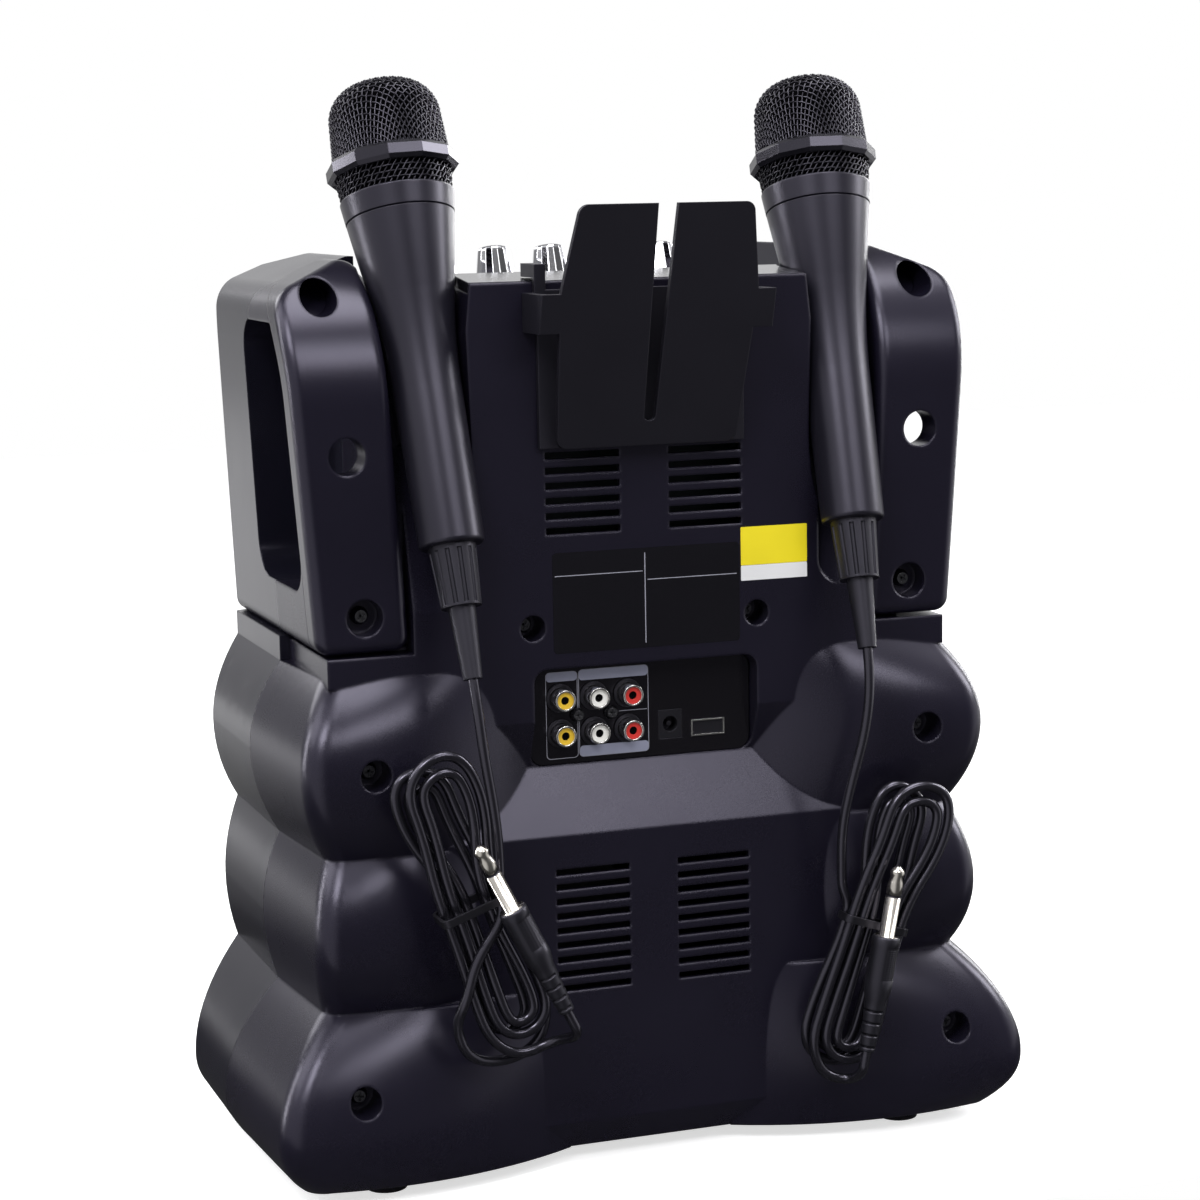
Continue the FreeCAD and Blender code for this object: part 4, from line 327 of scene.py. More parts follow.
finishes["knob_chrome"] = metal("chrome_knob", (0.58, 0.58, 0.61), 0.07)
finishes["nickel"] = metal("nickel_socket", (0.72, 0.71, 0.70), 0.17)
finishes["plug_metal"] = metal("nickel_plug", (0.58, 0.55, 0.51), 0.2)
finishes["pot_metal"] = metal("plated_case", (0.55, 0.55, 0.54), 0.35)
finishes["motor_steel"] = metal("plated_steel", (0.5, 0.5, 0.5), 0.3)
finishes["screw_steel"] = metal("blackened_steel", (0.16, 0.16, 0.175), 0.28)
finishes["speaker_steel"] = metal("painted_basket", (0.05, 0.05, 0.05), 0.5)
finishes["mic_mesh"] = plastic("painted_wire", (0.0032, 0.0030, 0.0042), 0.22, 0.4, 0.006, 0.05, 0.0, 0.45)
print("finishes:", len(finishes))

# %% [markdown]
# The record names a slot for every node, and a slot is a finish.

# %% Dress the nodes
slot_of = {part["node"]: part["material_slot"] for part in frame["record"]["subparts"]}
for name, node in nodes.items():
    node.data.materials.clear()
    node.data.materials.append(finishes[slot_of[name]])
print("dressed", len(nodes), "nodes in", len(finishes), "finishes")

# %% [markdown]
# ## The cords
#
# Each microphone's cord drops from the strain relief and is wound into a tied hank. A hank is a stack of long
# loops, narrow at the tie, with a place and a direction at every eighth of a turn. Above and below the tie
# nothing holds the turns, so the front layer fans to one side, the back layer to the other, and the outer
# loops stand a little higher.

# %% Hank
CORD_R = 2.0
LOOP_CENTRE, LOOP_R, WAIST_R, LOOP_STEP, LAYER = 44.0, 4.6, 2.5, 4.8, 4.7
TURNS_IN = 2
FAN, FAN_BELOW, STRAY = 4.2, 0.4, 1.5


class Hank:
    """A tied hank of cord: where its middle is and which way it leans."""

    def __init__(self, middle, tilt_deg):
        tilt = math.radians(tilt_deg)
        self.middle = at(*middle)
        self.along = Vector((math.sin(tilt), 0, math.cos(tilt)))
        self.across = Vector((math.cos(tilt), 0, -math.sin(tilt)))

    def point(self, u, v, layer):
        return self.middle + (self.across * u + self.along * v + Vector((0, -layer * LAYER, 0))) * MM

    def heading(self, du, dv):
        return (self.across * du + self.along * dv).normalized()

    def stop(self, eighth, inward, layer):
        """One of the eight places round a turn, and the way the cord goes there."""
        waist, loop = WAIST_R + LOOP_STEP * inward, LOOP_R + LOOP_STEP * inward
        end = LOOP_CENTRE + loop
        high = STRAY * (inward - 1)
        u, v, du, dv = (
            (-waist, 0, 0, -1), (-loop, -LOOP_CENTRE, 0, -1), (0, -end, 1, 0), (loop, -LOOP_CENTRE, 0, 1),
            (waist, 0, 0, 1), (loop, LOOP_CENTRE, 0, 1), (0, end + high, -1, 0), (-loop, LOOP_CENTRE, 0, -1),
        )[eighth % 8]
        fan = FAN * (2 * layer - 1) * max(v, -FAN_BELOW * v) / LOOP_CENTRE
        return self.point(u + fan, v, layer), self.heading(du, dv)

    def stops(self, lead, first, wide, last_out, plug):
        found = [(self.point(u, v, layer), self.heading(du, dv)) for u, v, layer, du, dv in lead]
        middle = 8 * TURNS_IN
        last = 2 * middle + 2
        for eighth in range(first, last + 1):
            inward = abs(eighth - middle) / 8
            if eighth - first < len(wide):
                inward += wide[eighth - first]
            if eighth == last:
                inward += last_out
            found.append(self.stop(eighth, inward, min(max(eighth - middle + 1, 0), 2) / 2))
        foot, way = plug
        return found + [(foot - way * (2 * CORD_R * MM), way), (foot, way)]


print("turns wind in", TURNS_IN, "times and out again")

# %% [markdown]
# A cord is a length of something flexible, so it is one smooth line: a curve whose control points are the
# route's corners, then two points for each stretch of each turn. The spline passes the middle of every pair,
# in the pair's direction, which is how a wound cord runs from bend to bend.

# %% Cord line
def pair(start, way, end, far_way):
    """The two control points that carry the cord from one stop to the next."""
    chord, both = end - start, way + far_way
    bend, along = 1 - way.dot(far_way), chord.dot(both)
    if bend < 1e-6:
        reach = chord.dot(chord) / (2 * along)
    else:
        reach = (-along + math.sqrt(along * along + 2 * bend * chord.dot(chord))) / (2 * bend)
    return [start + way * reach, end - far_way * reach]


def cord_line(name, points):
    curve = bpy.data.curves.new(name, "CURVE")
    curve.dimensions = "3D"
    spline = curve.splines.new("NURBS")
    spline.points.add(len(points) - 1)
    for place, point in zip(spline.points, points):
        place.co = (*point, 1.0)
    spline.order_u = 3
    spline.use_endpoint_u = True
    spline.resolution_u = 6
    curve.bevel_depth = CORD_R * MM
    curve.bevel_resolution = 3
    curve.use_fill_caps = True
    piece = linked(name, curve)
    piece.data.materials.append(finishes["cord_vinyl"])
    return piece


print("cord line ready")

# %% [markdown]
# The two hanks lean apart, and each cord has its own way down to its hank. A route is given by its corners in
# millimetres, and the plug lies on top of the hank, from a foot to a tip.

# %% Routes
MIC_TAIL, MIC_RING = (81.3, -13.2, 248.3), (86.8, 37.0, 394.0)
BOOT_END = 50.0
FIRST_RUN = 12.0


def mic_axis(side):
    tail = at(side * MIC_TAIL[0], *MIC_TAIL[1:])
    return tail, (at(side * MIC_RING[0], *MIC_RING[1:]) - tail).normalized()


PLUG_FEET = {-1: (15.7, -48.0), 1: (6.5, -47.5)}
PLUG_TIPS = {-1: (5.9, 25.0), 1: (-4.0, 26.0)}
PLUG_LAYERS = {-1: 3.926, 1: 2.926}
hanks = {-1: Hank((-80.0, -22.0, 115.5), -19.0), 1: Hank((85.0, -22.0, 90.0), 19.0)}
leads = {
    -1: ((9.0, 0.0, 2.0, -0.25, -0.97), (-13.0, -26.0, 2.0, -0.55, -0.835), (-23.2, -46.0, 1.0, 0.0, -1.0)),
    1: ((-19.0, 14.0, 0.0, 0.4, -0.917),),
}
routes = {
    -1: ((-77.4, -34.6, 172.0), (-74.6, -34.2, 156.0), (-72.2, -32.6, 140.0)),
    1: ((77.6, -32.2, 170.0), (73.6, -28.2, 150.0), (70.8, -24.0, 130.0)),
}
FIRST_STOP = {-1: 2, 1: 0}
WIDER = {-1: (1.35, 0.6), 1: ()}
LAST_OUT = 0.6
plugs, cords = {}, {}
for name, side in SIDES.items():
    hank = hanks[side]
    foot = hank.point(*PLUG_FEET[side], PLUG_LAYERS[side])
    plugs[side] = (foot, (hank.point(*PLUG_TIPS[side], PLUG_LAYERS[side]) - foot).normalized())
    stops = hank.stops(leads[side], FIRST_STOP[side], WIDER[side], LAST_OUT, plugs[side])
    tail, axis = mic_axis(side)
    exit_point = tail - axis * (BOOT_END * MM)
    points = [exit_point, exit_point - axis * (FIRST_RUN * MM)] + [at(*p) for p in routes[side]]
    points.append(stops[0][0])
    for (start, way), (end, far_way) in zip(stops, stops[1:]):
        points += pair(start, way, end, far_way)
    points.append(stops[-1][0])
    cords[side] = (cord_line("cord_" + name, points), exit_point)
    print(name, "cord has", len(points), "control points")

# %% [markdown]
# ## Turned pieces
#
# The plug and the knobs are turned forms with something cut round them. A lathe in mesh code walks up a list
# of rings and asks a small function for the radius at each angle, so flats, grip diamonds and relief slots
# are part of the surface itself.

# %% A lathe
def mesh_piece(name, shape, materials):
    """The object made from a finished bmesh."""
    bmesh.ops.recalc_face_normals(shape, faces=shape.faces)
    mesh = bpy.data.meshes.new(name)
    shape.to_mesh(mesh)
    shape.free()
    for material in materials:
        mesh.materials.append(material)
    return linked(name, mesh)


def lathe(name, rings, sides, radius_at, materials, coat_at):
    """A turned mesh from ring heights: radius_at(height, angle) in mm, coat_at(height) a material index."""
    shape = bmesh.new()
    turns = [2 * math.pi * k / sides for k in range(sides)]
    loops = []
    for height in rings:
        row = []
        for angle in turns:
            radius = radius_at(height, angle)
            row.append(shape.verts.new((radius * math.cos(angle), radius * math.sin(angle), height)))
        loops.append(row)
    for low_z, low, high in zip(rings, loops, loops[1:]):
        for k in range(sides):
            n = (k + 1) % sides
            face = shape.faces.new((low[k], low[n], high[n], high[k]))
            face.material_index, face.smooth = coat_at(low_z), True
    for row, low_z in ((loops[0], rings[0]), (loops[-1], rings[-2])):
        face = shape.faces.new(row)
        face.material_index = coat_at(low_z)
    return mesh_piece(name, shape, materials)


def along_profile(profile, height):
    """The radius of a profile of (height, radius) corners at a height."""
    for (z0, r0), (z1, r1) in zip(profile, profile[1:]):
        if z0 <= height <= z1:
            return r0 + (r1 - r0) * (height - z0) / max(z1 - z0, 1e-9)
    return profile[-1][1]


def steps(start, stop, size):
    count = max(1, round((stop - start) / size))
    return [start + (stop - start) * k / count for k in range(count + 1)]


print("lathe ready")

# %% [markdown]
# ## The plugs
#
# A quarter-inch plug on a moulded cord: a strain relief with slots cut from alternate sides so that it bends,
# a round body with a diamond grip on two sides, and a plated pin with its insulating ring, waist and tip.

# %% Plugs
PLUG_PROFILE = [(0.0, 3.0), (18.0, 4.1), (20.0, 4.3), (24.5, 5.4), (45.2, 5.4), (46.0, 4.9), (46.05, 3.1),
                (61.5, 3.1), (61.6, 2.8), (62.3, 2.8), (62.4, 3.1), (66.2, 3.1), (67.6, 2.75), (69.0, 2.35),
                (70.2, 2.75), (71.0, 3.0), (72.2, 2.5), (73.4, 1.3), (73.95, 0.3)]
RELIEF_START, RELIEF_END, GRIP_LOW, GRIP_HIGH, PLUG_SHOULDER = 1.4, 18.0, 29.0, 42.0, 46.0
SLOT_PITCH, SLOT_WIDTH, SLOT_DEPTH, SLOT_START = 2.4, 1.0, 1.3, 0.1
GRIP_TWIST, GRIP_RATE, GRIP_DEPTH, GRIP_START = 5.4, 4.2, 0.45, 0.55
INSULATOR_LOW, INSULATOR_HIGH = 61.5, 62.4
PLUG_SIDES = 72


def plug_radius(height, angle):
    radius = along_profile(PLUG_PROFILE, height)
    if RELIEF_START < height < RELIEF_END:
        row, within = divmod(height - RELIEF_START, SLOT_PITCH)
        side = math.cos(angle) if row % 2 else -math.cos(angle)
        if within < SLOT_WIDTH and side > SLOT_START:
            radius -= SLOT_DEPTH
    if GRIP_LOW < height < GRIP_HIGH and abs(math.sin(angle)) > GRIP_START:
        twist = angle * GRIP_TWIST
        across = math.sin((height + twist) * GRIP_RATE) * math.sin((height - twist) * GRIP_RATE)
        radius -= GRIP_DEPTH * (0.5 - 0.5 * across)
    return radius


def plug_coat(height):
    """0 for the moulding and the insulating ring, 1 for the plated pin."""
    return int(height >= PLUG_SHOULDER and not INSULATOR_LOW <= height < INSULATOR_HIGH)


corners = [z for z, r in PLUG_PROFILE]
plug_rings = sorted(set(steps(0.0, RELIEF_END, 0.3) + corners + steps(GRIP_LOW, GRIP_HIGH, 0.25)))
plug_coats = [finishes["plug_body"], finishes["plug_metal"]]
for name, side in SIDES.items():
    plug = lathe("plug_" + name, plug_rings, PLUG_SIDES, plug_radius, plug_coats, plug_coat)
    plug.data.transform(standing(*plugs[side]))
    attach(plug, "mic_" + name)
    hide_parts("mic_plug_" + name)
    cords[side] += (plug,)
    print(name, "plug:", len(plug.data.polygons), "faces")

# %% [markdown]
# ## Fixing the cords to their microphones
#
# A cord rides on its microphone and stands for the plain solids of the frame. The plug and the tie go
# wherever the cord goes.

for name, side in SIDES.items():
    piece, exit_point, plug = cords[side]
    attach(piece, "mic_" + name)
    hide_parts("mic_cord_" + name, "mic_hank_" + name)

# %% [markdown]
# ## Growing repeats with Geometry Nodes
#
# Woven wire, screws and printed frames repeat one small thing many times, and a node tree says that rule
# once. A tree is built here in code, its sizes are named inputs, and the grown result is taken as a plain
# mesh, so that nothing live is left on the piece.

# %% A tree and its harvest
class Grower(Wiring):
    """A Geometry Nodes tree under construction, with named inputs."""

    def __init__(self, name, **sizes):
        self.tree = bpy.data.node_groups.new(name, "GeometryNodeTree")
        face = self.tree.interface
        face.new_socket("Geometry", in_out="INPUT", socket_type="NodeSocketGeometry")
        kinds = {float: "NodeSocketFloat", int: "NodeSocketInt"}
        self.keys = {}
        for label, value in sizes.items():
            socket = face.new_socket(label, in_out="INPUT", socket_type=kinds[type(value)])
            socket.default_value = value
            self.keys[label] = socket.identifier
        face.new_socket("Geometry", in_out="OUTPUT", socket_type="NodeSocketGeometry")
        self.source = self.tree.nodes.new("NodeGroupInput")
        self.end = self.tree.nodes.new("NodeGroupOutput")

    def __getitem__(self, label):
        return Value(self, self.source.outputs[label])

    def close(self, geometry, material, rounded=True):
        """Realize, shade smooth or flat, set the material and end the tree."""
        real = self.node("GeometryNodeRealizeInstances", {}, {0: geometry})
        smooth = self.node("GeometryNodeSetShadeSmooth", {}, {0: real, "Shade Smooth": rounded})
        done = self.node("GeometryNodeSetMaterial", {}, {"Geometry": smooth, "Material": material})
        self.join(self.end.inputs[0], done)

    def grow(self, name, host=None, **sizes):
        piece = linked(name, host or bpy.data.meshes.new(name))
        modifier = piece.modifiers.new("grower", "NODES")
        modifier.node_group = self.tree
        for label, value in sizes.items():
            modifier[self.keys[label]] = value
        bpy.context.view_layer.update()
        grown = piece.evaluated_get(bpy.context.evaluated_depsgraph_get())
        mesh = bpy.data.meshes.new_from_object(grown)
        piece.modifiers.remove(modifier)
        piece.data = mesh
        return piece


print("grower ready")

# %% [markdown]
# ## Woven wire heads
#
# A microphone's head is a square wire cloth pressed over a dome, and a band of finer cloth below the ring.
# Pressing keeps the wires' spacing along each radius, so a flat grid is draped: each point keeps its distance
# from the middle, measured over the crown and down the side. One grid makes the wires along X and another
# the wires along Y, and each wire goes over and under its neighbours, which a cosine of the place in the
# grid gives.

# %% Wire cloth trees
QUARTER = math.pi / 2
SEAT, RING_LOW, RING_HIGH, HEAD_TOP = 135.0, 143.0, 149.8, 179.6
CROWN_FLAT, CROWN_R, CROWN_START, TAPER = 10.2, 13.2, 0.2, 0.06
CROWN_RISE = CROWN_FLAT * math.tan(CROWN_START) / 2
BAND_LOW_R, BAND_HIGH_R = 20.6, 21.6


def wires(g, flat_grid, lifted, axis_index):
    """The wires of one direction: the other edges go, and the rest become thin round bars."""
    places = [g.node("GeometryNodeInputMeshEdgeVertices", out="Position %d" % k) for k in (1, 2)]
    ends = [g.apart(place)[axis_index] for place in places]
    gap = (ends[0] - ends[1]) * (ends[0] - ends[1])
    cut = {"domain": "EDGE", "mode": "EDGE_FACE"}
    one_way = g.node("GeometryNodeDeleteGeometry", cut, {"Geometry": flat_grid, "Selection": gap < 1e-4})
    draped = g.node("GeometryNodeSetPosition", {}, {"Geometry": one_way, "Position": lifted})
    line = g.node("GeometryNodeMeshToCurve", {}, {0: draped})
    ring = g.node("GeometryNodeCurvePrimitiveCircle", {}, {"Resolution": 5, "Radius": g["Wire"]})
    return g.node("GeometryNodeCurveToMesh", {}, {"Curve": line, "Profile Curve": ring})


def dome_cloth():
    g = Grower("dome_cloth", Pitch=2.4, Wire=0.36, Weave=0.36, Count=45)
    span = g["Pitch"] * (g["Count"] - 1)
    sizes = {"Size X": span, "Size Y": span, "Vertices X": g["Count"], "Vertices Y": g["Count"]}
    grid = g.node("GeometryNodeMeshGrid", {}, sizes)
    where = g.node("GeometryNodeInputPosition")
    x, y = g.apart(where)[:2]
    reach = g.node("ShaderNodeVectorMath", {"operation": "LENGTH"}, {0: where}, out="Value").most(0.001)
    flat = reach.least(CROWN_FLAT)
    bend = ((reach - CROWN_FLAT) / CROWN_R + CROWN_START).most(CROWN_START).least(QUARTER)
    wall = (reach - (CROWN_FLAT + CROWN_R * (QUARTER - CROWN_START))).most(0.0)
    radius = flat + CROWN_R * (bend.sin() - math.sin(CROWN_START)) + TAPER * wall
    dish = flat * flat * (CROWN_RISE / CROWN_FLAT ** 2)
    height = HEAD_TOP - dish - CROWN_R * (math.cos(CROWN_START) - bend.cos()) - wall
    disc = g.node("GeometryNodeDeleteGeometry", {}, {"Geometry": grid, "Selection": height < RING_LOW + 1.0})
    both = []
    for axis_index, sign in ((0, 1.0), (1, -1.0)):
        lift = g["Weave"] * sign * ((x + y) / g["Pitch"] * math.pi).cos()
        out = (radius + lift * bend.sin()) / reach
        both.append(wires(g, disc, g.together(x * out, y * out, height + lift * bend.cos()), axis_index))
    g.close(g.node("GeometryNodeJoinGeometry", {}, {0: both}), finishes["mic_mesh"])
    return g


def band_cloth():
    g = Grower("band_cloth", Pitch=2.2, Wire=0.36, Weave=0.36, Around=60, Rows=5, Lean=0.7)
    spans = {"Size X": g["Pitch"] * g["Around"], "Size Y": g["Pitch"] * (g["Rows"] - 1)}
    counts = {"Vertices X": g["Around"] + 1, "Vertices Y": g["Rows"]}
    grid = g.node("GeometryNodeMeshGrid", {}, spans | counts)
    x, y = g.apart(g.node("GeometryNodeInputPosition"))[:2]
    turned = (x + y * g["Lean"]) / (g["Pitch"] * g["Around"]) * (2 * math.pi)
    height = y + (SEAT + RING_LOW) / 2
    both = []
    for axis_index, sign in ((0, 1.0), (1, -1.0)):
        lift = g["Weave"] * sign * ((x + y) / g["Pitch"] * math.pi).cos()
        radius = BAND_LOW_R + (height - SEAT) * ((BAND_HIGH_R - BAND_LOW_R) / (RING_LOW - SEAT)) + lift
        wound = g.together(turned.cos() * radius, turned.sin() * radius, height)
        both.append(wires(g, grid, wound, axis_index))
    g.close(g.node("GeometryNodeJoinGeometry", {}, {0: both}), finishes["mic_mesh"])
    return g


print("cloth from", SEAT, "to", HEAD_TOP, "mm up a microphone")

# %% [markdown]
# Inside the wire sits a black foam liner, which is why no light comes through a head. It is a plain turned
# dome, a little over a millimetre inside the cloth.

# %% Heads
INSET, CROWN_STEPS, LINER_SIDES = 1.3, 12, 48
LINER = [(SEAT + 0.2, 19.2), (RING_LOW, 20.3)]
for k in range(CROWN_STEPS + 1):
    bend = QUARTER - (QUARTER - CROWN_START) * k / CROWN_STEPS
    radius = CROWN_FLAT + CROWN_R * (math.sin(bend) - math.sin(CROWN_START)) - INSET * math.sin(bend)
    drop = CROWN_RISE + CROWN_R * (math.cos(CROWN_START) - math.cos(bend)) + INSET * math.cos(bend)
    LINER.append((HEAD_TOP - drop, radius))
LINER.append((HEAD_TOP - INSET, 0.1))
liner_rings = [z for z, r in LINER]
dome_tree, band_tree = dome_cloth(), band_cloth()
for name, side in SIDES.items():
    head = standing(*mic_axis(side))
    dome = dome_tree.grow("wire_dome_" + name)
    band = band_tree.grow("wire_band_" + name)
    liner = lathe("foam_" + name, liner_rings, LINER_SIDES, lambda z, angle: along_profile(LINER, z),
                  [finishes["foam"]], lambda z: 0)
    for piece in (dome, band, liner):
        piece.data.transform(head)
        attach(piece, "mic_" + name)
    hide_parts("mic_grille_" + name)
    print(name, "head:", len(dome.data.polygons) + len(band.data.polygons), "wire faces")

# %% [markdown]
# ## Faceted rings
#
# A twelve-sided moulded ring clamps the two cloths together. It also stops a laid-down microphone from
# rolling. Its flats are polished, so each one mirrors another part of the room, and they have to stay truly
# flat: the band is made face by face from six corners and shaded flat. The two rings are screwed on as far as
# they go, so they are turned by different parts of a flat.

# %% Rings
def facets(name, profile, sides, turn, material):
    """A closed band of flats from (radius, height) corners."""
    shape = bmesh.new()
    rows = []
    for k in range(sides):
        angle = 2 * math.pi * (k + turn) / sides
        rows.append([shape.verts.new((r * math.cos(angle), r * math.sin(angle), z)) for r, z in profile])
    for here, there in zip(rows, rows[1:] + rows[:1]):
        for j in range(len(profile)):
            n = (j + 1) % len(profile)
            shape.faces.new((here[j], there[j], there[n], here[n]))
    return mesh_piece(name, shape, [material])


RING_PROFILE = [(21.3, RING_LOW + 0.4), (23.8, RING_LOW), (25.1, RING_LOW + 1.5), (25.1, RING_HIGH - 1.5),
                (23.8, RING_HIGH), (21.3, RING_HIGH - 0.4)]
RING_SIDES, RING_TURN = 12, {"left": -0.15, "right": -0.4}
for name, side in SIDES.items():
    ring = facets("ring_" + name, RING_PROFILE, RING_SIDES, RING_TURN[name], finishes["ring_gloss"])
    ring.data.transform(standing(*mic_axis(side)))
    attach(ring, "mic_" + name)
    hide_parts("mic_ring_" + name)
    print(name, "ring:", len(ring.data.polygons), "faces")

# %% [markdown]
# ## Screws
#
# The case is held by blackened pan-head screws deep in their wells, and the jack plate by two smaller ones.
# Each is the same head with a cross cut into it, turned by a random amount, as a driver leaves them. The
# points carry a size, and the tree puts a head on each.

# %% Screw tree
TOP_SHARE, CROSS_LENGTH, CROSS_RISE = 0.68, 3.6, 0.95


def screw_heads():
    g = Grower("screw_heads", Radius=3.4 * MM, Height=2.2 * MM, Slot=0.95 * MM, Seed=7)
    tall = g["Height"]
    radii = {"Radius Top": g["Radius"] * TOP_SHARE, "Radius Bottom": g["Radius"]}
    cone = {"Vertices": 28, "Depth": tall} | radii
    head = g.node("GeometryNodeMeshCone", {}, cone)
    bars = []
    for long_x, long_y in ((1, 0), (0, 1)):
        span = [g["Slot"] * (CROSS_LENGTH if way else 1.0) for way in (long_x, long_y)]
        bar = g.node("GeometryNodeMeshCube", {}, {"Size": g.together(*span, tall)})
        raised = {"Geometry": bar, "Translation": g.together(0.0, 0.0, tall * CROSS_RISE)}
        bars.append(g.node("GeometryNodeTransform", {}, raised))
    cut = g.node("GeometryNodeMeshBoolean", {"operation": "DIFFERENCE"}, {0: head, 1: bars[0]})
    cut = g.node("GeometryNodeMeshBoolean", {"operation": "DIFFERENCE"}, {0: cut, 1: bars[1]})
    size = g.node("GeometryNodeInputNamedAttribute", {"data_type": "FLOAT"}, {"Name": "size"})
    facing = (QUARTER, 0.0, 0.0)
    sizes = {"Points": g["Geometry"], "Instance": cut, "Rotation": facing, "Scale": size}
    placed = g.node("GeometryNodeInstanceOnPoints", {}, sizes)
    between = {2: 0.0, 3: QUARTER, 8: g["Seed"]}
    spin = g.node("FunctionNodeRandomValue", {"data_type": "FLOAT"}, between, out=1)
    twist = {"Instances": placed, "Rotation": g.together(0.0, 0.0, spin)}
    g.close(g.node("GeometryNodeRotateInstances", {}, twist), finishes["screw_steel"], False)
    return g


WELLS = [((46.0, 213.2), 14.0), ((112.9, 164.6), -0.5), ((122.3, 42.5), -8.0), ((111.7, 221.7), 9.0)]
SCREW_RISE, JACK_SCREW_Y, JACK_SCREW_Z, JACK_SCREW_SIZE = 1.15, 7.15, 177.2, 0.82
seats = [at(side * x, depth - SCREW_RISE, z) for (x, z), depth in WELLS for side in (-1, 1)]
jack_seats = [at(x, JACK_SCREW_Y, JACK_SCREW_Z) for x in (-26.4, -12.57)]
points = bpy.data.meshes.new("screw_points")
points.from_pydata(seats + jack_seats, [], [])
size = points.attributes.new("size", "FLOAT", "POINT")
size.data.foreach_set("value", [1.0] * len(seats) + [JACK_SCREW_SIZE] * len(jack_seats))
screws = screw_heads().grow("screws", points)
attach(screws, "cabinet")
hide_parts("case_screws")
print("screws:", len(seats) + len(jack_seats), "with", len(screws.data.polygons), "faces")

# %% [markdown]
# ## Printing and plates
#
# The jack plate is printed with thin pale frames round the sockets and lilac bars for their headings, which
# stay empty here. Above it is the place of the rating label, a plain gloss plate with ruled lines, and beside
# it a plain sticker. Ink and paper are about a tenth of a millimetre thick: rounded rectangles, grown from
# one tree as an outline or as a filled leaf.

# %% Leaf and frame trees
LINE_FLATNESS = 0.35


def leaf_tree(filled, material):
    g = Grower("leaf" if filled else "frame", Width=10.0, Height=5.0, Corner=1.0, Line=0.13, Thick=0.1)
    edge = g.node("GeometryNodeCurvePrimitiveQuadrilateral", {}, {"Width": g["Width"], "Height": g["Height"]})
    corner = {"Curve": edge, "Count": 6, "Radius": g["Corner"], "Limit Radius": True}
    edge = g.node("GeometryNodeFilletCurve", {"mode": "POLY"}, corner)
    if filled:
        face = g.node("GeometryNodeFillCurve", {"mode": "NGONS"}, {0: edge})
        up = {"Mesh": face, "Offset Scale": g["Thick"], "Individual": False}
        solid = g.node("GeometryNodeExtrudeMesh", {}, up)
    else:
        ring = g.node("GeometryNodeCurvePrimitiveCircle", {}, {"Resolution": 6, "Radius": g["Line"]})
        solid = g.node("GeometryNodeCurveToMesh", {}, {"Curve": edge, "Profile Curve": ring})
        solid = g.node("GeometryNodeTransform", {}, {"Geometry": solid, "Scale": (1.0, 1.0, LINE_FLATNESS)})
    g.close(solid, material, False)
    return g


def ink(name, colour, sheen):
    return plastic(name, colour, sheen, 0.25, 0.004, 0.05, 0.0)


PAPER = {
    "label": ink("gloss_label", (0.0042, 0.0040, 0.0052), 0.22),
    "yellow": ink("yellow_sticker", (0.80, 0.66, 0.012), 0.36),
    "white": ink("white_sticker", (0.72, 0.72, 0.74), 0.4),
    "lilac": ink("lilac_ink", (0.27, 0.28, 0.38), 0.4),
    "pale": ink("pale_ink", (0.30, 0.30, 0.36), 0.4),
}


def leaf(tree, name, x0, x1, z0, z1, y, slot, **sizes):
    """One rectangle on the back of the machine, flat against depth y."""
    piece = tree.grow(name, Width=x1 - x0, Height=z1 - z0, **sizes)
    flat = Matrix.Rotation(QUARTER, 4, "X")
    piece.data.transform(Matrix.Translation(at((x0 + x1) / 2, y, (z0 + z1) / 2)) @ flat @ Matrix.Scale(MM, 4))
    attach(piece, "cabinet")


print("paper and print:", len(PAPER), "inks")

# %% [markdown]
# The plates and lines go on by their left, right, lower and upper edges. The label's lines lie on the label,
# and the frames and bars lie on the jack plate, eight millimetres in.

# %% Plates and print
label_tree, yellow_tree = leaf_tree(True, PAPER["label"]), leaf_tree(True, PAPER["yellow"])
white_tree, lilac_tree = leaf_tree(True, PAPER["white"]), leaf_tree(True, PAPER["lilac"])
line_tree, frame_tree = leaf_tree(True, PAPER["pale"]), leaf_tree(False, PAPER["pale"])
LABEL = 0.15
leaf(label_tree, "rating_plate", -37.9, 38.8, 202.8, 241.5, 0.0, "jack_gloss", Corner=1.6, Thick=LABEL)
leaf(yellow_tree, "sticker_upper", 39.5, 67.5, 232.0, 247.0, 0.0, "insert_yellow", Corner=0.4)
leaf(white_tree, "sticker_lower", 39.5, 67.5, 226.0, 231.9, 0.0, "insert_white", Corner=0.4)
rules = [(-37.0, -1.4, 232.4, 232.7), (-0.6, -0.25, 204.6, 239.6), (0.6, 37.6, 229.0, 229.3)]
for index, (x0, x1, z0, z1) in enumerate(rules):
    leaf(line_tree, "label_rule_%d" % index, x0, x1, z0, z1, -LABEL, "jack_gloss", Corner=0.05, Thick=0.05)
PLATE = 8.0
leaf(frame_tree, "video_frame", -38.8, -26.0, 160.4, 194.2, PLATE, "jack_gloss", Corner=1.6)
leaf(frame_tree, "audio_frame", -25.4, 3.2, 160.5, 194.5, PLATE, "jack_gloss", Corner=1.6)
leaf(lilac_tree, "video_bar", -38.7, -26.1, 190.6, 194.1, PLATE, "jack_gloss", Corner=1.4)
leaf(lilac_tree, "audio_in_bar", -25.3, 3.1, 190.4, 194.4, PLATE, "jack_gloss", Corner=1.4)
leaf(lilac_tree, "audio_out_bar", -25.3, 3.1, 160.6, 164.7, PLATE, "jack_gloss", Corner=1.4)
leaf(line_tree, "row_line", -9.0, 2.6, 177.05, 177.3, PLATE, "jack_gloss", Corner=0.05, Thick=0.05)
print("label, sticker,", len(rules), "rules and the jack plate's print")
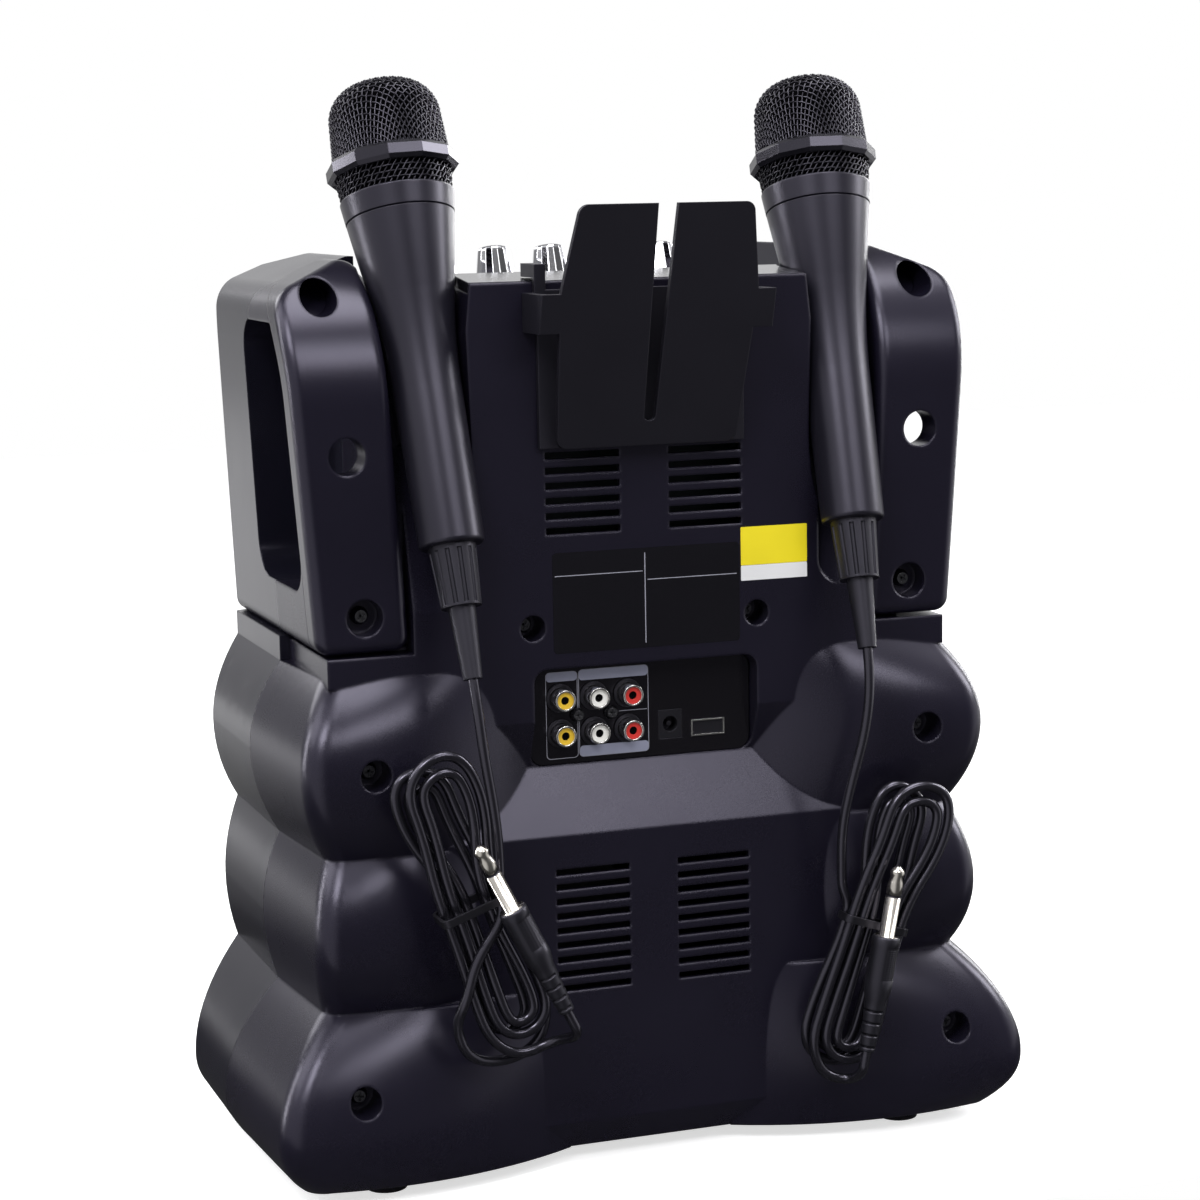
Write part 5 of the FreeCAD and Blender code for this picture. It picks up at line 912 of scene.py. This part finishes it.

# %% [markdown]
# ## Phono sockets
#
# Six phono sockets stand on the plate: a bright plated sleeve round a coloured ring, a black washer at its
# foot and, down the middle, a dark matte ring that is painted shade for the contact's hole. All three are
# short tubes on the same six points, so one tree makes them: a small wall section swept round a circle,
# placed on every point, with its sizes as inputs. The charging socket's mouth gets a dark leaf between its
# plated walls, which is painted shade for its interior.

# %% Sockets
def tube_tree(material):
    g = Grower("tube", Radius=3.7 * MM, Wall=0.85 * MM, Length=7.7 * MM, Edge=0.25 * MM)
    path = g.node("GeometryNodeCurvePrimitiveCircle", {}, {"Resolution": 40, "Radius": g["Radius"]})
    wall = g.node("GeometryNodeCurvePrimitiveQuadrilateral", {}, {"Width": g["Wall"], "Height": g["Length"]})
    round_edge = {"Curve": wall, "Count": 3, "Radius": g["Edge"], "Limit Radius": True}
    wall = g.node("GeometryNodeFilletCurve", {"mode": "POLY"}, round_edge)
    tube = g.node("GeometryNodeCurveToMesh", {}, {"Curve": path, "Profile Curve": wall})
    facing = {"Points": g["Geometry"], "Instance": tube, "Rotation": (QUARTER, 0.0, 0.0)}
    g.close(g.node("GeometryNodeInstanceOnPoints", {}, facing), material)
    return g


SOCKET_X, SOCKET_PITCH, SOCKET_Z = -33.3, 13.83, (184.15, 170.3)


def tubes(name, depth, material, inner, outer, length):
    """Six equal tubes, one round each socket's axis, centred at a depth."""
    spots = bpy.data.meshes.new(name + "_points")
    spots.from_pydata([at(SOCKET_X + k * SOCKET_PITCH, depth, z) for k in range(3) for z in SOCKET_Z], [], [])
    sizes = {"Radius": (inner + outer) / 2 * MM, "Wall": (outer - inner) * MM, "Length": length * MM}
    piece = tube_tree(material).grow(name, spots, **sizes)
    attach(piece, "cabinet")
    return piece


sleeves = tubes("phono_sleeves", PLATE - 3.85, finishes["nickel"],
                inner=3.3, outer=4.15, length=7.7)
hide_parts("rca_shells")
tubes("phono_washers", PLATE - 0.5, finishes["socket_black"],
      inner=4.15, outer=5.6, length=1.0)
# The dark ring down each socket's middle is painted shade: the matte black of the foam stands for the shaded
# hole of the contact.
tubes("phono_contacts", PLATE - 5.9, finishes["foam"],
      inner=0.3, outer=1.58, length=0.8)
# The dark leaf in the charging socket's mouth is painted shade for its interior, not a part of its own.
mouth_shade_tree = leaf_tree(True, finishes["socket_black"])
leaf(mouth_shade_tree, "usb_mouth_painted_shade", 21.55, 34.25, 165.4, 170.6, PLATE + 0.5, "socket_black", Corner=0.2, Thick=0.3)
print("sockets:", len(sleeves.data.polygons), "sleeve faces")

# %% [markdown]
# ## Knobs
#
# Six chromed knobs stand along the deck. Each is a cone with sixteen flats and a nearly level top, so the
# chrome breaks the room into upright streaks. They turn by themselves, so each is a piece on its own body.

# %% Knobs
KNOB_PROFILE = [(0.35, 7.9), (0.8, 8.25), (15.9, 6.1), (16.6, 5.9), (17.1, 5.45), (17.4, 4.7), (17.48, 3.9)]
KNOB_PITCH, KNOB_Y, DECK_CREST_Y, DECK_Z, DECK_SLOPE_DEG = 23.4, 70.0, 30.0, 346.8, 12.0
KNOBS, FLATS, STEPS_PER_FLAT = 6, 16, 8
slope = math.radians(DECK_SLOPE_DEG)
deck_up = Vector((0, math.sin(slope), math.cos(slope)))


def knob_radius(height, angle):
    within = (angle * FLATS / (2 * math.pi)) % 1 - 0.5
    flat = math.cos(math.pi / FLATS) / math.cos(2 * math.pi / FLATS * within)
    return along_profile(KNOB_PROFILE, height) * flat


knob_rings = sorted(set([z for z, r in KNOB_PROFILE] + steps(0.8, 15.2, 3.0)))
knob_z = DECK_Z - (KNOB_Y - DECK_CREST_Y) * math.tan(slope)
for k in range(KNOBS):
    name = "knob_%d" % (k + 1)
    knob = lathe("chrome_" + name, knob_rings, FLATS * STEPS_PER_FLAT, knob_radius,
                 [finishes["knob_chrome"]], lambda z: 0)
    foot = at((k - (KNOBS - 1) / 2) * KNOB_PITCH, KNOB_Y, knob_z)
    knob.data.transform(standing(foot, deck_up))
    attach(knob, name + "_body")
    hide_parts(name)
print("knobs:", KNOBS, "each with", len(knob.data.polygons), "faces")

# %% [markdown]
# ## Floor and studio light
#
# The machine is black, so its form is told by reflections: a white room behind and beside it draws pale lines
# along every edge that turns away, while the side where the camera stands is dark, which keeps the flat back
# dark. The camera itself sees the room as plain white, at strength one.

# %% World
class Room(Wiring):
    """A world or floor tree that is lit one way and seen another."""

    def __init__(self, tree):
        self.tree = tree

    def seen(self):
        """1 for the camera, and 1 for mirrors and glass."""
        path = self.node("ShaderNodeLightPath", out="Is Camera Ray")
        outs = path.socket.node.outputs
        mirrored = Value(self, outs["Is Glossy Ray"]).most(Value(self, outs["Is Transmission Ray"]))
        return path, mirrored


def rising(value, width):
    """0 below nought, rising to 1 over a width."""
    return (value / width).most(0.0).least(1.0)


ROOM_LIGHT, DARK_SIDE, LEFT_LIGHT, RIGHT_LIGHT, CEILING_LIGHT = 0.5, 0.1, 0.65, 0.9, 0.5
world = bpy.data.worlds.new("studio")
world.use_nodes = True
world.cycles.sampling_method = "NONE"
scene.world = world
room = Room(world.node_tree)
to_camera, mirrored = room.seen()
x, y, z = room.apart(room.node("ShaderNodeTexCoord", out="Generated"))
left_wall = rising(-0.05 - x, 0.5) * rising(0.45 - y, 0.4)
right_wall = rising(x - 0.65, 0.3)
ceiling = rising(z - 0.5, 0.3) * rising(0.3 - y, 0.5)
behind = rising(y - 0.3, 0.5) * (0.6 + 0.9 * x).most(0.25).least(0.9)
walls = DARK_SIDE + LEFT_LIGHT * left_wall + RIGHT_LIGHT * right_wall
glow = (walls + CEILING_LIGHT * ceiling + behind).least(1.0)
strength = to_camera + mirrored * (1 - to_camera) * glow + (1 - mirrored) * (1 - to_camera) * ROOM_LIGHT
backdrop = world.node_tree.nodes["Background"]
backdrop.inputs["Color"].default_value = (1, 1, 1, 1)
room.join(backdrop.inputs["Strength"], strength)
print("world ready")

# %% [markdown]
# The floor ends just in front of the machine, so that the camera's side stays dark in reflections. It glows a
# little for the camera, which turns it white but leaves the shadow. In mirrors it shows a painted shade, dark
# near the machine, and is white only far off.

# %% Floor
FLOOR_REACH, FLOOR_FRONT, FLOOR_GLOW, MIRROR_START, MIRROR_LEAST = 3, -0.17, 0.65, 0.3, 0.05
floor_mesh = bpy.data.meshes.new("floor")
edges = [(-FLOOR_REACH, FLOOR_FRONT), (FLOOR_REACH, FLOOR_FRONT), (FLOOR_REACH, FLOOR_REACH),
         (-FLOOR_REACH, FLOOR_REACH)]
floor_mesh.from_pydata([(x, y, 0) for x, y in edges], [], [(0, 1, 2, 3)])
floor = linked("floor", floor_mesh)
pale = bpy.data.materials.new("pale_floor")
pale.use_nodes = True
floor_mesh.materials.append(pale)
ground = Room(pale.node_tree)
to_camera, mirrored = ground.seen()
lit = pale.node_tree.nodes["Principled BSDF"]
lit.inputs["Base Color"].default_value = rgb(0.75, 0.75, 0.76)
lit.inputs["Roughness"].default_value = 0.7
lit.inputs["Specular IOR Level"].default_value = 0.1
bright = ground.node("ShaderNodeEmission", {}, {"Color": rgb(1, 1, 1), "Strength": to_camera * FLOOR_GLOW})
seen = ground.node("ShaderNodeAddShader", {}, {0: Value(ground, lit.outputs[0]), 1: bright})
# In mirrors the floor's glow grows with distance from the machine: dark close by as painted shade, white far
# off.
where = ground.node("ShaderNodeTexCoord", out="Object")
reach = ground.node("ShaderNodeVectorMath", {"operation": "LENGTH"}, {0: where}, out="Value")
far_white = {"Color": rgb(1, 1, 1), "Strength": (reach - MIRROR_START).most(MIRROR_LEAST).least(1.0)}
in_mirrors = ground.node("ShaderNodeEmission", {}, far_white)
total = ground.node("ShaderNodeMixShader", {}, {0: mirrored, 1: seen, 2: in_mirrors})
ground.join(pale.node_tree.nodes["Material Output"].inputs["Surface"], total)
print("floor ready")

# %% [markdown]
# Each lamp is a soft panel: its place in metres, the height on the machine's axis that it looks at, its
# width, its height and its power. The large ones make the broad highlights, the strips draw lines down the
# sides, a small one lights the flats of the rings, and two stand beyond the front, for views from there.

# %% Lamps
LAMPS = {
    "overhead": ((0.23, -0.28, 1.55), 0.2, 0.9, 0.7, 14),
    "key_left": ((-0.67, -0.80, 1.21), 0.2, 0.45, 0.5, 9),
    "over_camera": ((0.33, -1.22, 1.06), 0.2, 0.75, 0.3, 4.5),
    "ring_glint": ((0.2, -1.2, 1.29), 0.39, 0.35, 0.25, 1.1),
    "side_left": ((-1.2, 0.1, 1.25), 0.2, 0.9, 0.8, 7),
    "side_right": ((1.35, -0.15, 0.9), 0.2, 0.5, 0.7, 11),
    "strip_left": ((-1.45, 0.65, 0.55), 0.25, 0.14, 1.0, 9),
    "strip_right": ((1.4, 0.75, 0.55), 0.25, 0.14, 1.0, 6),
    "front_left": ((-0.75, 1.25, 1.05), 0.2, 0.7, 0.7, 7),
    "front_right": ((1.0, 1.2, 0.55), 0.2, 0.3, 0.8, 4),
}
for name, (place, aim, width, height, power) in LAMPS.items():
    lamp = bpy.data.lights.new(name, "AREA")
    lamp.shape, lamp.size, lamp.size_y, lamp.energy = "RECTANGLE", width, height, power
    light = linked(name, lamp)
    light.location = place
    light.rotation_euler = (Vector((0, 0, aim)) - Vector(place)).to_track_quat("-Z", "Y").to_euler()
scene.view_settings.view_transform = "Standard"
